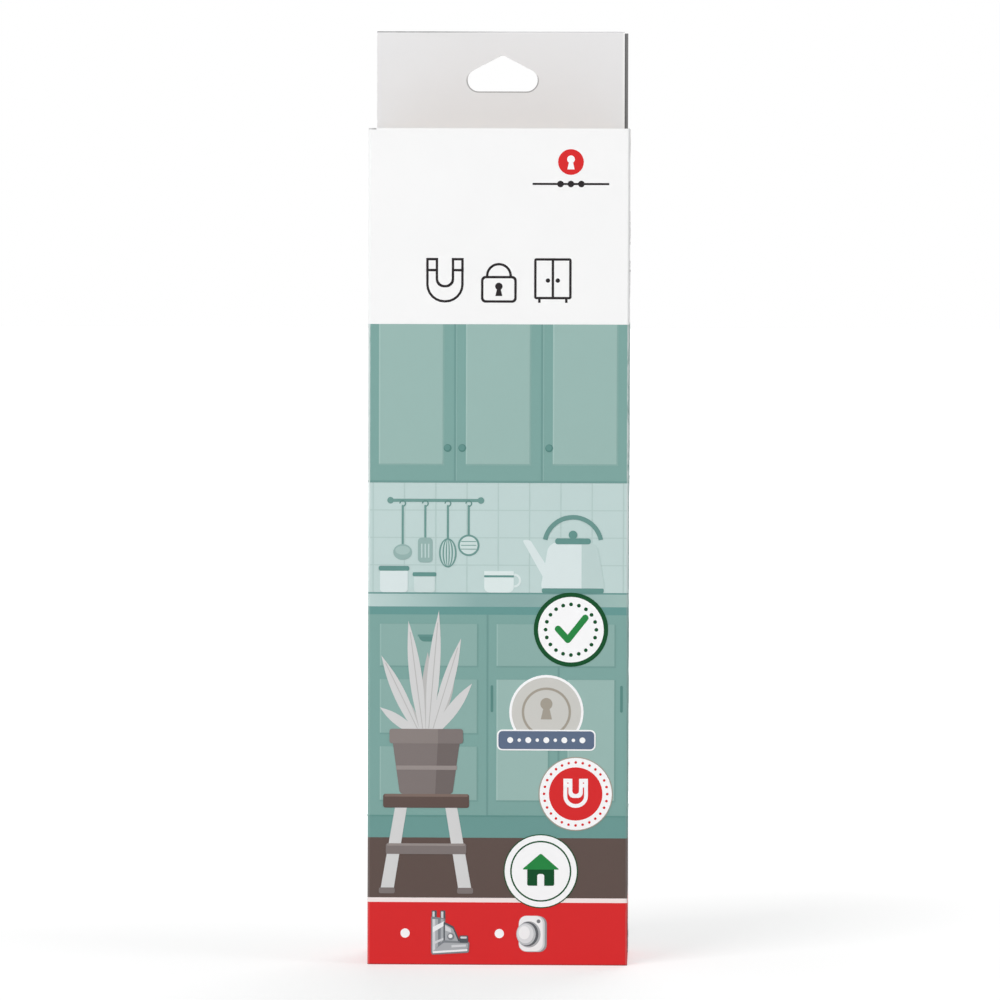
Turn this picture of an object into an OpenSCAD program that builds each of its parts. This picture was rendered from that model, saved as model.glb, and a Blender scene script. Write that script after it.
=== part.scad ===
/* [Carton] */
// Width of the front panel
carton_w = 75; // [75:1:90]
// Depth from the front panel to the back panel
carton_d = 40; // [40:1:52]
// Height of the front panel
carton_h = 241; // [236:1:290]
// Thickness of the folding board
board_t = 0.5; // [0.4:0.05:0.6]
// Outside radius of the upright creases
crease_r = 0.8; // [0.7:0.1:1.5]
// Radius of the thumb notches in the side panels
thumb_notch_r = 9; // [7:0.5:12]
// Width of the glued seam flap
seam_flap_w = 12; // [8:1:15]

/* [Header] */
// Height of the header above the front panel
header_h = 28.5; // [27:0.5:40]
// Width of raw board left bare at the header's right edge
header_bare_w = 1; // [0.5:0.1:2]
// Depth that the folded ply reaches down behind the tray
header_tail_h = 12; // [8:1:20]
// Width of the hanging hole
hang_hole_w = 20.5; // [18:0.5:27]
// Height of the hanging hole at its peak
hang_hole_h = 10.5; // [9:0.1:13]
// Radius of the hanging hole's two round ends
hang_end_r = 3.3; // [2.5:0.1:4.2]
// Distance from the header's top edge to the hole's peak
hang_hole_drop = 7; // [5:0.5:10]

/* [Tray] */
// Thickness of the sheet behind the stacked board
backing_t = 1.6; // [1.2:0.1:1.8]
// Running clearance of the tray in the sleeve
tray_gap = 0.3; // [0.2:0.05:0.4]
// Free space round an item in its cut-out
pocket_gap = 0.8; // [0.5:0.1:0.9]
// Small space below and behind an item in its cut-out
rest_gap = 0.3; // [0.2:0.05:0.4]
// Corner radius of the tray
tray_corner_r = 4; // [3:0.5:6]
// Corner radius of the cut-outs
pocket_corner_r = 2.6; // [2:0.1:3]
// Width of the finger notches beside the items
notch_w = 22; // [18:1:24]
// Reach of the finger notches beyond the items
notch_reach = 11; // [9:0.5:13]

/* [Leaflet] */
// Free width on each side of the leaflet, out to the carton's face
leaflet_side_room = 7.5; // [6.5:0.5:12]
// Height of the folded leaflet
leaflet_h = 50; // [44:1:54]
// Thickness of the folded leaflet
leaflet_t = 2.4; // [1.6:0.2:3.2]
// Thickness of the front layer, which holds the leaflet
leaflet_pocket_depth = 8; // [6:0.5:10]

/* [Magnet key] */
// Width of the grip plate
key_w = 36; // [33:1:40]
// Height of the grip plate
key_h = 64; // [60:1:68]
// Thickness of the grip plate
key_t = 7; // [6:0.5:9]
// Corner radius of the grip plate
key_corner_r = 9; // [7:0.5:12]
// Wall of the key's plastic shells
key_wall = 1.6; // [1.3:0.1:2]
// Diameter of the magnet knob
knob_d = 28; // [27:0.5:30]
// Height of the knob above the grip plate
knob_h = 13; // [12:0.5:15]
// Height of the dark ring round the knob's foot
ring_h = 4; // [3:0.5:5]
// Diameter of the key's magnet
key_magnet_d = 20; // [18:0.5:21]
// Diameter of the hole for hanging the key up
key_hole_d = 3.6; // [3:0.2:4.5]

/* [Lock] */
// Free width on each side of the lock, out to the carton's face
lock_side_room = 4.5; // [4:0.1:5]
// Height of the lock with its alignment cradle
lock_h = 70; // [68:0.5:72]
// Free depth between the lock and the front of the tray
lock_front_room = 3.7; // [2:0.1:4.5]
// Thickness of both mounting plates
plate_t = 3; // [2.6:0.1:3.4]
// Thickness of the adhesive foam pads
pad_t = 1; // [0.8:0.1:1.2]
// Thickness of the release liners
liner_t = 0.3; // [0.2:0.05:0.4]
// Thickness of the housing's cheeks
cheek_t = 2; // [1.6:0.1:2.2]
// Thickness of the hood
hood_t = 2; // [1.6:0.1:2.2]
// Diameter of the pivot pin
pin_d = 3; // [2.5:0.1:3.5]
// Distance from the pivot to the tip of the hook
hook_reach = 27; // [26:0.25:28]
// Height of the barb above the hook arm
barb_h = 9; // [8.5:0.1:9.4]
// Height that the barb and the catch share
latch_bite = 4; // [3.5:0.1:4.2]
// Diameter of the latch's magnet
latch_magnet_d = 14; // [12:0.5:15]
// Thickness of the latch's magnet
latch_magnet_t = 4.8; // [4:0.1:5]
// Thickness of the sliding catch
catch_t = 3; // [2.6:0.1:3.2]
// Height of the sliding catch
catch_h = 10; // [9:0.1:10.2]
// Thickness of the alignment cradle
cradle_t = 2; // [1.6:0.1:2.4]

/* [Hidden] */
$fn = 48;

// One overrun serves every cut
overrun = 1;

// Carton faces and board levels
side_x = carton_w / 2;
front_y = -carton_d / 2;
back_y = carton_d / 2;
header_top_z = carton_h + header_h;
header_x = side_x - crease_r;
peak_r = 1;
hole_top_z = header_top_z - hang_hole_drop;
hole_low_z = hole_top_z - hang_hole_h;
hole_end_x = hang_hole_w / 2 - hang_end_r;
dust_flap_gap = 3;
dust_flap_bevel = 8;

// Tray faces
tray_x = side_x - 2 * board_t - tray_gap;
tray_front_y = front_y + board_t + tray_gap;
tray_back_y = back_y - 2 * board_t - tray_gap;
tray_low_z = 2 * board_t + tray_gap;
tray_high_z = carton_h - tray_gap;
floor_y = tray_back_y - backing_t;

// The three items share the tray's height with four like bars between them
items_h = lock_h + key_h + leaflet_h;
item_gap = (tray_high_z - tray_low_z - items_h) / 4;
leaflet_z = tray_low_z + item_gap;
key_z = leaflet_z + leaflet_h + item_gap;
lock_z = key_z + key_h + item_gap;

// Leaflet
leaflet_floor_y = tray_front_y + leaflet_pocket_depth;
leaflet_fold_r = leaflet_t / 2;
leaflet_corner_r = pocket_gap;
leaflet_w = carton_w - 2 * leaflet_side_room;

// Magnet key, measured from the middle of its back face
felt_t = 0.8;
felt_margin = 3;
knob_face_t = 1.2;
knob_wall = 1.4;
knob_edge_r = 2.5;
magnet_gap = 0.3;
ring_lip = 1.5;
key_fit = 0.1;
flux_t = 1.5;
key_depth = key_t + knob_h + felt_t;
key_stow_gap = 3;
key_back_y = tray_front_y + key_stow_gap + key_depth;
key_floor_y = key_back_y + rest_gap;
knob_r = knob_d / 2;
magnet_bore_r = key_magnet_d / 2 + magnet_gap;
spigot_r = magnet_bore_r + knob_wall;
ring_r = knob_r + ring_lip;
knob_front = -key_t - knob_h;
magnet_seat = knob_front + knob_face_t;
boss_h = 1.3;
flux_back = -key_t - boss_h;
key_magnet_t = flux_back - flux_t - magnet_seat;
post_r = 2.6;
post_inset = 8;
screw_head_r = 1.9;
screw_head_t = 1.2;
screw_r = 0.9;
screw_end_gap = 0.4;
key_screw_len = key_t - key_wall - screw_end_gap;
screw_fit = 0.06;
screw_slot_w = 0.45;
screw_slot_l = 2.4;
screw_slot_deep = 0.6;
key_hole_inset = 6.5;

// Lock, measured along its foot (u) and up (w) from the outer corner of its two plates
stack_t = liner_t + pad_t;
plate_in = stack_t + plate_t;
plate_mid = stack_t + plate_t / 2;
cradle_gap = 0.3;
lock_w = carton_w - 2 * lock_side_room;
lock_d = floor_y - tray_front_y - lock_front_room - cradle_gap - cradle_t - rest_gap;
half_d = lock_d / 2;
plate_corner_r = 4;
cheek_in = half_d - cheek_t;

// Places along the lock and up it, as shares of its length and its height
base_left_share = 0.2121;
pivot_shares = [0.6061, 0.2286];
spring_share = 0.4242;
head_shares = [0.3182, 0.7714];
cheek_left_share = 0.3636;
foot_top_share = 0.3429;
elbow_shares = [0.8182, 0.3857];
waist_shares = [0.6667, 0.5143];
crown_shares = [0.5758, 0.9143];
crown_left_share = 0.4545;
low_boss_share = 0.1857;
strike_shares = [0.1714, 0.8571];
strike_lip_share = 0.6;
prong_shares = [0.1212, 0.1515, 0.1212];
cradle_elbow_shares = [0.7273, 0.3429];
cradle_foot_share = 0.2857;
cradle_top_share = 0.8857;

// Both arms of the strike and what turns between them
strike_arm_inset = 3;
strike_arm_t = 3;
strike_arm_out = half_d - strike_arm_inset;
strike_arm_in = strike_arm_out - strike_arm_t;
arm_side_gap = 3;
arm_half_d = strike_arm_in - arm_side_gap;

// Base and latch
base_left = base_left_share * lock_w;
pivot_u = pivot_shares[0] * lock_w;
pivot_w = pivot_shares[1] * lock_h;
hub_r = 5.5;
pin_fit = 0.05;
pin_grip = 0.02;
arm_h = 6;
arm_low = pivot_w - arm_h / 2;
arm_high = pivot_w + arm_h / 2;
barb_left = pivot_u - hook_reach;
barb_w = 5;
barb_flat = 2.5;
barb_right = barb_left + barb_w;
barb_top = arm_high + barb_h;
tail_reach = 16;
tail_tip_h = 3;

// Magnet head of the latch
head_left = head_shares[0] * lock_w;
head_wall = 1.5;
head_back = 2;
magnet_recess = 0.2;
head_right = head_left + magnet_recess + latch_magnet_t + head_back;
head_r = latch_magnet_d / 2 + head_wall;
head_w = head_shares[1] * lock_h;
leg_foot = 4;
leg_head_t = 5;
leg_rise = 4;
leg_top = head_w + leg_rise;
leg_shoulder = head_w - head_r;
magnet_fit = 0.05;

// Housing outline of the lock
cheek_left = cheek_left_share * lock_w;
foot_top = foot_top_share * lock_h;
elbow_u = elbow_shares[0] * lock_w;
elbow_w = elbow_shares[1] * lock_h;
waist_u = waist_shares[0] * lock_w;
waist_w = waist_shares[1] * lock_h;
crown_u = crown_shares[0] * lock_w;
crown_w = crown_shares[1] * lock_h;
crown_left = crown_left_share * lock_w;
hood_fit = 0.05;
boss_r = 2.6;
boss_side_gap = 0.95;
boss_len = cheek_in - hood_fit - arm_half_d - boss_side_gap;
boss_sink = 1.2;
boss_inset = hood_t + boss_r - boss_sink;
low_boss_u = lock_w - boss_inset;
low_boss_w = low_boss_share * lock_h;
top_boss_u = crown_u - boss_inset;
top_boss_w = crown_w - boss_inset;
hood_screw_grip = 3;
hood_screw_len = cheek_t + hood_screw_grip;
rest_rib_inset = 6;
rest_rib_left = pivot_u + tail_reach - rest_rib_inset;
rest_rib_w = 4;
rest_rib_step = 1;
rest_rib_half_d = arm_half_d - rest_rib_step;

// Return spring under the hook arm
spring_u = spring_share * lock_w;
spring_wire = 0.5;
spring_r = 2.5;
spring_turns = 5;
spring_end_gap = 0.25;
spring_low = plate_in + spring_end_gap + spring_wire / 2;
spring_high = arm_low - spring_end_gap - spring_wire / 2;
spring_sides = 6;
spring_rings = 8;
spring_boss_r = 1.6;
spring_boss_h = 2;

// Strike on the door and its sliding catch
strike_low = strike_shares[0] * lock_h;
strike_high = strike_shares[1] * lock_h;
catch_gap = 1;
catch_left = barb_right + catch_gap;
catch_right = catch_left + catch_t;
catch_low = barb_top - latch_bite;
catch_high = catch_low + catch_h;
catch_fit = 0.15;
groove_deep = 1.6;
tongue_step = 2;
tongue_low = catch_low + tongue_step;
ridge_h = 1;
ridge_out = 0.8;
arm_under = 2;
arm_over = 3;
arm_end = 2;
strike_arm_low = catch_low - arm_under;
strike_arm_high = catch_high + arm_over;
strike_arm_right = catch_right + arm_end;
web_t = 2;
web_gap = 1.5;
web_right = catch_left - web_gap;
pad_margin = 2;
liner_tab = 4;

// Alignment cradle behind both plates
cradle_front = half_d + cradle_gap;
cradle_back = cradle_front + cradle_t;
cradle_edge = 2;
cradle_top = cradle_top_share * lock_h;
prong_left = prong_shares[0] * lock_w;
prong_w = prong_shares[1] * lock_w;
prong_gap = prong_shares[2] * lock_w;
cradle_leg_right = prong_left + 2 * prong_w + prong_gap + cradle_edge;
cradle_foot_top = cradle_foot_share * lock_h;
cradle_elbow_u = cradle_elbow_shares[0] * lock_w;
cradle_elbow_w = cradle_elbow_shares[1] * lock_h;
lip_gap = 0.2;
lip_t = 1.5;
lip_reach = 7;
lip_len = 7;
strike_lip_low = strike_lip_share * lock_h;
foot_lip_inset = 1;
foot_lip_left = base_left + foot_lip_inset;

// Where the lock stands in its pocket
lock_x = -lock_w / 2;
lock_y = floor_y - rest_gap - cradle_back;

// A box between two corners
module span(low, high) {
    translate(low) cube(high - low);
}

// A profile drawn in X and Z, extruded from near_y to far_y
module extrude_y(near_y, far_y) {
    translate([0, far_y, 0]) rotate([90, 0, 0]) linear_extrude(far_y - near_y) children();
}

// A profile drawn in Y and Z, extruded from left_x to right_x
module extrude_x(left_x, right_x) {
    translate([left_x, 0, 0]) rotate([90, 0, 90]) linear_extrude(right_x - left_x) children();
}

// A round bar along Y
module bar_y(x, z, r, near_y, far_y) {
    translate([x, far_y, z]) rotate([90, 0, 0]) cylinder(r = r, h = far_y - near_y);
}

// A round bar along X
module bar_x(y, z, r, left_x, right_x) {
    translate([left_x, y, z]) rotate([0, 90, 0]) cylinder(r = r, h = right_x - left_x);
}

// A flat rectangle with four round corners
module rounded_rect(low, high, r) {
    translate([low.x + r, low.y]) square([high.x - low.x - 2 * r, high.y - low.y]);
    translate([low.x, low.y + r]) square([high.x - low.x, high.y - low.y - 2 * r]);
    for (x = [low.x + r, high.x - r], y = [low.y + r, high.y - r]) {
        translate([x, y]) circle(r);
    }
}

// The hanging hole: two round ends, a flat foot and a peak
module hang_hole_outline() {
    end = [hole_end_x, hole_low_z + hang_end_r];
    peak = [0, hole_top_z - peak_r];
    run = peak - end;
    slope = atan2(run.y, -run.x);
    lean = slope - asin((hang_end_r - peak_r) / norm(run));
    normal = [sin(lean), cos(lean)];
    right = [peak + peak_r * normal, end + hang_end_r * normal];
    left = [for (p = right) [-p.x, p.y]];
    for (side = [-1, 1]) {
        translate([side * end.x, end.y]) circle(hang_end_r);
    }
    translate(peak) circle(peak_r);
    polygon([
        [-end.x, hole_low_z], [end.x, hole_low_z], right[1], right[0], peak,
        left[0], left[1]
    ]);
}

// Tube of four panels with the back panel running up into the header
module carton_sleeve() {
    color("white") difference() {
        union() {
            linear_extrude(carton_h) {
                rounded_rect([-side_x, front_y], [side_x, back_y], crease_r);
            }
            span([-header_x, back_y - board_t, carton_h - overrun],
                [header_x, back_y, header_top_z - board_t]);
        }
        span([-side_x + board_t, front_y + board_t, -overrun],
            [side_x - board_t, back_y - board_t, header_top_z]);
        bar_x(0, carton_h, thumb_notch_r, -side_x - overrun, side_x + overrun);
        extrude_y(back_y - board_t - overrun, back_y + overrun) hang_hole_outline();
    }
}

// Board folded over at the header's top and glued down inside the back panel
module header_ply() {
    color("gainsboro") difference() {
        union() {
            span([-header_x, back_y - 2 * board_t, carton_h - header_tail_h],
                [header_x - header_bare_w, back_y - board_t, header_top_z - board_t]);
            intersection() {
                bar_x(back_y - board_t, header_top_z - board_t, board_t,
                    -header_x, header_x - header_bare_w);
                span([-header_x, back_y - 2 * board_t, header_top_z - board_t],
                    [header_x, back_y, header_top_z]);
            }
        }
        extrude_y(back_y - 2 * board_t - overrun, back_y) hang_hole_outline();
    }
}

// Glued seam inside the left back corner
module seam_flap() {
    color("tan") extrude_x(-side_x + board_t, -side_x + 2 * board_t) {
        polygon([
            [back_y - 2 * board_t, carton_h - header_tail_h - board_t],
            [back_y - 2 * board_t, 2 * board_t],
            [back_y - 2 * board_t - seam_flap_w, 2 * board_t + seam_flap_w / 3],
            [back_y - 2 * board_t - seam_flap_w, carton_h - header_tail_h - seam_flap_w / 3]
        ]);
    }
}

// Outer bottom flap, level with the sleeve's lower edge
module bottom_flap() {
    color("white") span([-side_x + board_t, front_y + board_t, 0],
        [side_x - board_t, back_y - board_t, board_t]);
}

// Tapered dust flap above the bottom flap; side is -1 for left and 1 for right
module dust_flap(side) {
    root_x = side_x - board_t;
    near = front_y + board_t;
    far = back_y - board_t;
    color("tan") translate([0, 0, board_t]) linear_extrude(board_t) {
        polygon([
            [side * root_x, near],
            [side * dust_flap_gap, near + dust_flap_bevel],
            [side * dust_flap_gap, far - dust_flap_bevel],
            [side * root_x, far]
        ]);
    }
}

// Cut-out for the lock in the shape of an L, with a notch beside its upright
module lock_cutout() {
    low = [lock_x - pocket_gap, lock_z - rest_gap];
    rounded_rect(low, [lock_x + waist_u + pocket_gap, lock_z + lock_h + pocket_gap],
        pocket_corner_r);
    rounded_rect(low, [lock_x + lock_w + pocket_gap, lock_z + waist_w + pocket_gap],
        pocket_corner_r);
    rounded_rect([lock_x + crown_left, lock_z + crown_w - notch_w],
        [lock_x + waist_u + notch_reach, lock_z + crown_w], pocket_corner_r);
}

// Cut-out for the key with a notch on either side
module key_cutout() {
    half = key_w / 2 + pocket_gap;
    mid_z = key_z + key_h / 2;
    rounded_rect([-half, key_z - rest_gap], [half, key_z + key_h + pocket_gap], pocket_corner_r);
    rounded_rect([-key_w / 2 - notch_reach, mid_z - notch_w / 2],
        [key_w / 2 + notch_reach, mid_z + notch_w / 2], pocket_corner_r);
}

// Cut-out for the leaflet
module leaflet_cutout() {
    half = leaflet_w / 2 + pocket_gap;
    rounded_rect([-half, leaflet_z - rest_gap], [half, leaflet_z + leaflet_h + pocket_gap],
        leaflet_corner_r);
}

// Notch behind the leaflet's upper edge
module leaflet_notch() {
    top = leaflet_z + leaflet_h;
    rounded_rect([-notch_w / 2, top - notch_reach], [notch_w / 2, top + notch_reach / 2],
        pocket_corner_r);
}

// One layer of the tray's stack, not yet cut out
module insert_sheet(near_y, far_y) {
    extrude_y(near_y, far_y) {
        rounded_rect([-tray_x, tray_low_z], [tray_x, tray_high_z], tray_corner_r);
    }
}

// Front layer with all three items' cut-outs
module insert_face() {
    color("burlywood") difference() {
        insert_sheet(tray_front_y, leaflet_floor_y);
        extrude_y(tray_front_y - overrun, leaflet_floor_y + overrun) {
            leaflet_cutout();
            leaflet_notch();
            key_cutout();
            lock_cutout();
        }
    }
}

// Middle layer: the leaflet lies on it
module insert_middle() {
    color("tan") difference() {
        insert_sheet(leaflet_floor_y, key_floor_y);
        extrude_y(leaflet_floor_y - overrun, key_floor_y + overrun) {
            leaflet_notch();
            key_cutout();
            lock_cutout();
        }
    }
}

// Rear layer: the key lies on it
module insert_rear() {
    color("burlywood") difference() {
        insert_sheet(key_floor_y, floor_y);
        extrude_y(key_floor_y - overrun, floor_y + overrun) lock_cutout();
    }
}

// Plain sheet that closes the stack: the lock lies on it
module insert_back() {
    color("tan") insert_sheet(floor_y, tray_back_y);
}

// Folded instruction leaflet with its long fold on the left
module leaflet() {
    left = -leaflet_w / 2;
    far = leaflet_floor_y - rest_gap;
    near = far - leaflet_t;
    color("whitesmoke") {
        span([left + leaflet_fold_r, near, leaflet_z], [-left, far, leaflet_z + leaflet_h]);
        translate([left + leaflet_fold_r, far - leaflet_fold_r, leaflet_z]) {
            cylinder(r = leaflet_fold_r, h = leaflet_h);
        }
    }
}

// Places the key's own frame, whose origin is the middle of its back face
module at_key() {
    translate([0, key_back_y, key_z + key_h / 2]) children();
}

// Outline of the grip plate, shrunk by inset
module key_outline(inset) {
    half = [key_w / 2 - inset, key_h / 2 - inset];
    rounded_rect(-half, half, key_corner_r - inset);
}

module key_hanging_hole() {
    bar_y(key_w / 2 - key_hole_inset, key_h / 2 - key_hole_inset, key_hole_d / 2,
        -key_t - overrun, overrun);
}

// Grip shell, open at the back, with screw posts and a boss under the knob
module key_shell() {
    color("whitesmoke") at_key() difference() {
        union() {
            difference() {
                extrude_y(-key_t, 0) key_outline(0);
                extrude_y(-key_t + key_wall, overrun) key_outline(key_wall);
            }
            for (side = [-1, 1]) {
                bar_y(0, side * (key_h / 2 - post_inset), post_r, -key_t + key_wall / 2, -key_wall);
            }
            bar_y(key_w / 2 - key_hole_inset, key_h / 2 - key_hole_inset,
                key_hole_d / 2 + key_wall, -key_t + key_wall / 2, -key_wall);
            bar_y(0, 0, magnet_bore_r - key_fit, -key_t - boss_h, -key_t + key_wall / 2);
        }
        for (side = [-1, 1]) {
            bar_y(0, side * (key_h / 2 - post_inset), screw_r + screw_fit,
                -key_t + key_wall, overrun);
        }
        key_hanging_hole();
    }
}

// Back cover let into the mouth of the grip shell
module key_back_cover() {
    color("gainsboro") at_key() difference() {
        extrude_y(-key_wall, 0) key_outline(key_wall + key_fit);
        for (side = [-1, 1]) {
            z = side * (key_h / 2 - post_inset);
            bar_y(0, z, screw_r + screw_fit, -key_wall - overrun, overrun);
            bar_y(0, z, screw_head_r + screw_fit, -screw_head_t, overrun);
        }
        key_hanging_hole();
    }
}

// A cross-head screw along Y, its head's face at Y = 0 and its point towards -Y
module screw(len) {
    difference() {
        union() {
            bar_y(0, 0, screw_head_r, -screw_head_t, 0);
            bar_y(0, 0, screw_r, -len, -screw_head_t);
        }
        for (turn = [0, 90]) {
            rotate([0, turn, 0]) {
                span([-screw_slot_l / 2, -screw_slot_deep, -screw_slot_w / 2],
                    [screw_slot_l / 2, overrun, screw_slot_w / 2]);
            }
        }
    }
}

module key_cover_screws() {
    color("silver") at_key() {
        for (side = [-1, 1]) {
            translate([0, 0, side * (key_h / 2 - post_inset)]) screw(key_screw_len);
        }
    }
}

// Dark ring round the foot of the knob
module knob_ring() {
    color("dimgray") at_key() difference() {
        bar_y(0, 0, ring_r, -key_t - ring_h, -key_t);
        bar_y(0, 0, spigot_r + key_fit, -key_t - ring_h - overrun, -key_t + overrun);
    }
}

// Knob cup with a rounded front edge, open towards the plate
module knob_cup() {
    open_end = knob_h - knob_edge_r;
    color("white") at_key() translate([0, -key_t, 0]) rotate([90, 0, 0]) rotate_extrude() {
        difference() {
            union() {
                square([spigot_r, ring_h]);
                translate([0, ring_h]) square([knob_r, open_end - ring_h]);
                translate([0, open_end]) square([knob_r - knob_edge_r, knob_edge_r]);
                translate([knob_r - knob_edge_r, open_end]) intersection() {
                    circle(knob_edge_r);
                    square(knob_edge_r);
                }
            }
            translate([0, -overrun]) square([magnet_bore_r, knob_h - knob_face_t + overrun]);
        }
    }
}

module key_magnet() {
    color("silver") at_key() {
        bar_y(0, 0, key_magnet_d / 2, magnet_seat, magnet_seat + key_magnet_t);
    }
}

// Steel disc that closes the field behind the magnet
module flux_plate() {
    color("gray") at_key() {
        bar_y(0, 0, magnet_bore_r - key_fit, flux_back - flux_t, flux_back);
    }
}

// Felt disc that spares the cabinet door
module felt_pad() {
    color("darkgray") at_key() {
        bar_y(0, 0, knob_r - felt_margin, knob_front - felt_t, knob_front);
    }
}

// Places the lock's own frame: u along X, w along Z, middle of the plates at Y = 0
module at_lock() {
    translate([lock_x, lock_y, lock_z]) children();
}

// Flat side of the housing
module cheek_outline() {
    polygon([
        [cheek_left, plate_mid], [lock_w, plate_mid], [lock_w, foot_top],
        [elbow_u, elbow_w], [waist_u, waist_w], [crown_u, crown_w],
        [crown_left, crown_w], [crown_left, waist_w], [cheek_left, elbow_w]
    ]);
}

// Base plate with two cheeks, the tail's rest and the spring's boss
module lock_base() {
    color("lightgray") at_lock() difference() {
        union() {
            translate([0, 0, stack_t]) linear_extrude(plate_t) {
                rounded_rect([base_left, -half_d], [lock_w, half_d], plate_corner_r);
            }
            extrude_y(-half_d, -cheek_in) cheek_outline();
            extrude_y(cheek_in, half_d) cheek_outline();
            span([rest_rib_left, -rest_rib_half_d, plate_mid],
                [rest_rib_left + rest_rib_w, rest_rib_half_d, arm_low - rest_gap]);
            translate([spring_u, 0, plate_mid]) {
                cylinder(r = spring_boss_r, h = plate_t / 2 + spring_boss_h);
            }
        }
        bar_y(pivot_u, pivot_w, pin_d / 2 + pin_grip, -half_d - overrun, half_d + overrun);
        for (p = [[low_boss_u, low_boss_w], [top_boss_u, top_boss_w]]) {
            bar_y(p.x, p.y, screw_r + screw_fit, -half_d - overrun, -cheek_in + overrun);
            bar_y(p.x, p.y, screw_head_r + screw_fit, -half_d - overrun,
                -half_d + screw_head_t);
        }
    }
}

// Roof between the cheeks, with two screw bosses behind the front cheek
module lock_hood() {
    reach = cheek_in - hood_fit;
    color("silver") at_lock() difference() {
        union() {
            extrude_y(-reach, reach) {
                polygon([
                    [lock_w, plate_in], [lock_w, foot_top], [elbow_u, elbow_w],
                    [waist_u, waist_w], [crown_u, crown_w], [crown_left, crown_w],
                    [crown_left, crown_w - hood_t], [crown_u - hood_t, crown_w - hood_t],
                    [waist_u - hood_t, waist_w - hood_t / 2], [elbow_u - hood_t / 2, elbow_w - hood_t],
                    [lock_w - hood_t, foot_top - hood_t], [lock_w - hood_t, plate_in]
                ]);
            }
            for (p = [[low_boss_u, low_boss_w], [top_boss_u, top_boss_w]]) {
                bar_y(p.x, p.y, boss_r, -reach, -reach + boss_len);
            }
        }
        for (p = [[low_boss_u, low_boss_w], [top_boss_u, top_boss_w]]) {
            bar_y(p.x, p.y, screw_r + screw_fit, -reach - overrun, -reach + boss_len - overrun);
        }
    }
}

module hood_screws() {
    color("silver") at_lock() {
        for (p = [[low_boss_u, low_boss_w], [top_boss_u, top_boss_w]]) {
            translate([p.x, -half_d, p.y]) rotate([0, 0, 180]) screw(hood_screw_len);
        }
    }
}

module pivot_pin() {
    color("silver") at_lock() bar_y(pivot_u, pivot_w, pin_d / 2, -half_d, half_d);
}

// Bell crank: hook arm to the left, tail to the right, magnet head above
module latch() {
    color("gainsboro") at_lock() difference() {
        union() {
            extrude_y(-arm_half_d, arm_half_d) {
                polygon([
                    [barb_left, arm_low], [pivot_u, arm_low], [pivot_u, arm_high],
                    [barb_right, arm_high], [barb_right, barb_top],
                    [barb_right - barb_flat, barb_top], [barb_left, arm_high]
                ]);
                polygon([
                    [pivot_u, arm_low], [pivot_u + tail_reach, arm_low],
                    [pivot_u + tail_reach, arm_low + tail_tip_h], [pivot_u, arm_high]
                ]);
                polygon([
                    [pivot_u - leg_foot, pivot_w], [pivot_u + leg_foot, pivot_w],
                    [head_right + leg_head_t, leg_top], [head_right - head_wall / 2, leg_top],
                    [head_right - head_wall / 2, leg_shoulder]
                ]);
                translate([pivot_u, pivot_w]) circle(hub_r);
            }
            bar_x(0, head_w, head_r, head_left, head_right);
        }
        bar_y(pivot_u, pivot_w, pin_d / 2 + pin_fit, -half_d, half_d);
        bar_x(0, head_w, latch_magnet_d / 2 + magnet_fit, head_left - overrun,
            head_left + magnet_recess + latch_magnet_t);
    }
}

module latch_magnet() {
    color("silver") at_lock() {
        bar_x(0, head_w, latch_magnet_d / 2, head_left + magnet_recess,
            head_left + magnet_recess + latch_magnet_t);
    }
}

// Centre line of the return spring
function coil_centre(i) = let (turn = i / spring_rings) [
    spring_r * cos(360 * turn), spring_r * sin(360 * turn),
    spring_low + (spring_high - spring_low) * turn / spring_turns
];
function coil_ring(i) = let (c = coil_centre(i), turn = 360 * i / spring_rings) [
    for (k = [0:spring_sides - 1]) let (a = 360 * k / spring_sides)
        c + spring_wire / 2 * [cos(a) * cos(turn), cos(a) * sin(turn), sin(a)]
];
coil_steps = spring_turns * spring_rings;
coil_gap = min([
    for (i = [0:coil_steps], j = [0:coil_steps]) if (j - i > spring_rings / 2)
        norm(coil_centre(j) - coil_centre(i))
]) - spring_wire;
echo(least_gap_between_spring_curls = coil_gap);

// Compression spring under the hook arm
module latch_spring() {
    last = coil_steps * spring_sides;
    color("silver") at_lock() translate([spring_u, 0, 0]) polyhedron(
        points = [for (i = [0:coil_steps]) each coil_ring(i)],
        faces = [
            for (i = [0:coil_steps - 1], k = [0:spring_sides - 1])
                let (a = i * spring_sides + k, b = i * spring_sides + (k + 1) % spring_sides)
                each [[a, a + spring_sides, b], [b, a + spring_sides, b + spring_sides]],
            for (k = [1:spring_sides - 2]) each [[0, k, k + 1], [last, last + k + 1, last + k]]
        ]
    );
}

module lock_pad() {
    color("dimgray") at_lock() translate([0, 0, liner_t]) linear_extrude(pad_t) {
        rounded_rect([base_left + pad_margin, -half_d + pad_margin],
            [lock_w - pad_margin, half_d - pad_margin], plate_corner_r - pad_margin);
    }
}

// Release liner with a pull tab towards the corner
module lock_liner() {
    color("white") at_lock() linear_extrude(liner_t) {
        rounded_rect([base_left + pad_margin - liner_tab, -half_d + pad_margin],
            [lock_w - pad_margin, half_d - pad_margin], plate_corner_r - pad_margin);
    }
}

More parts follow.
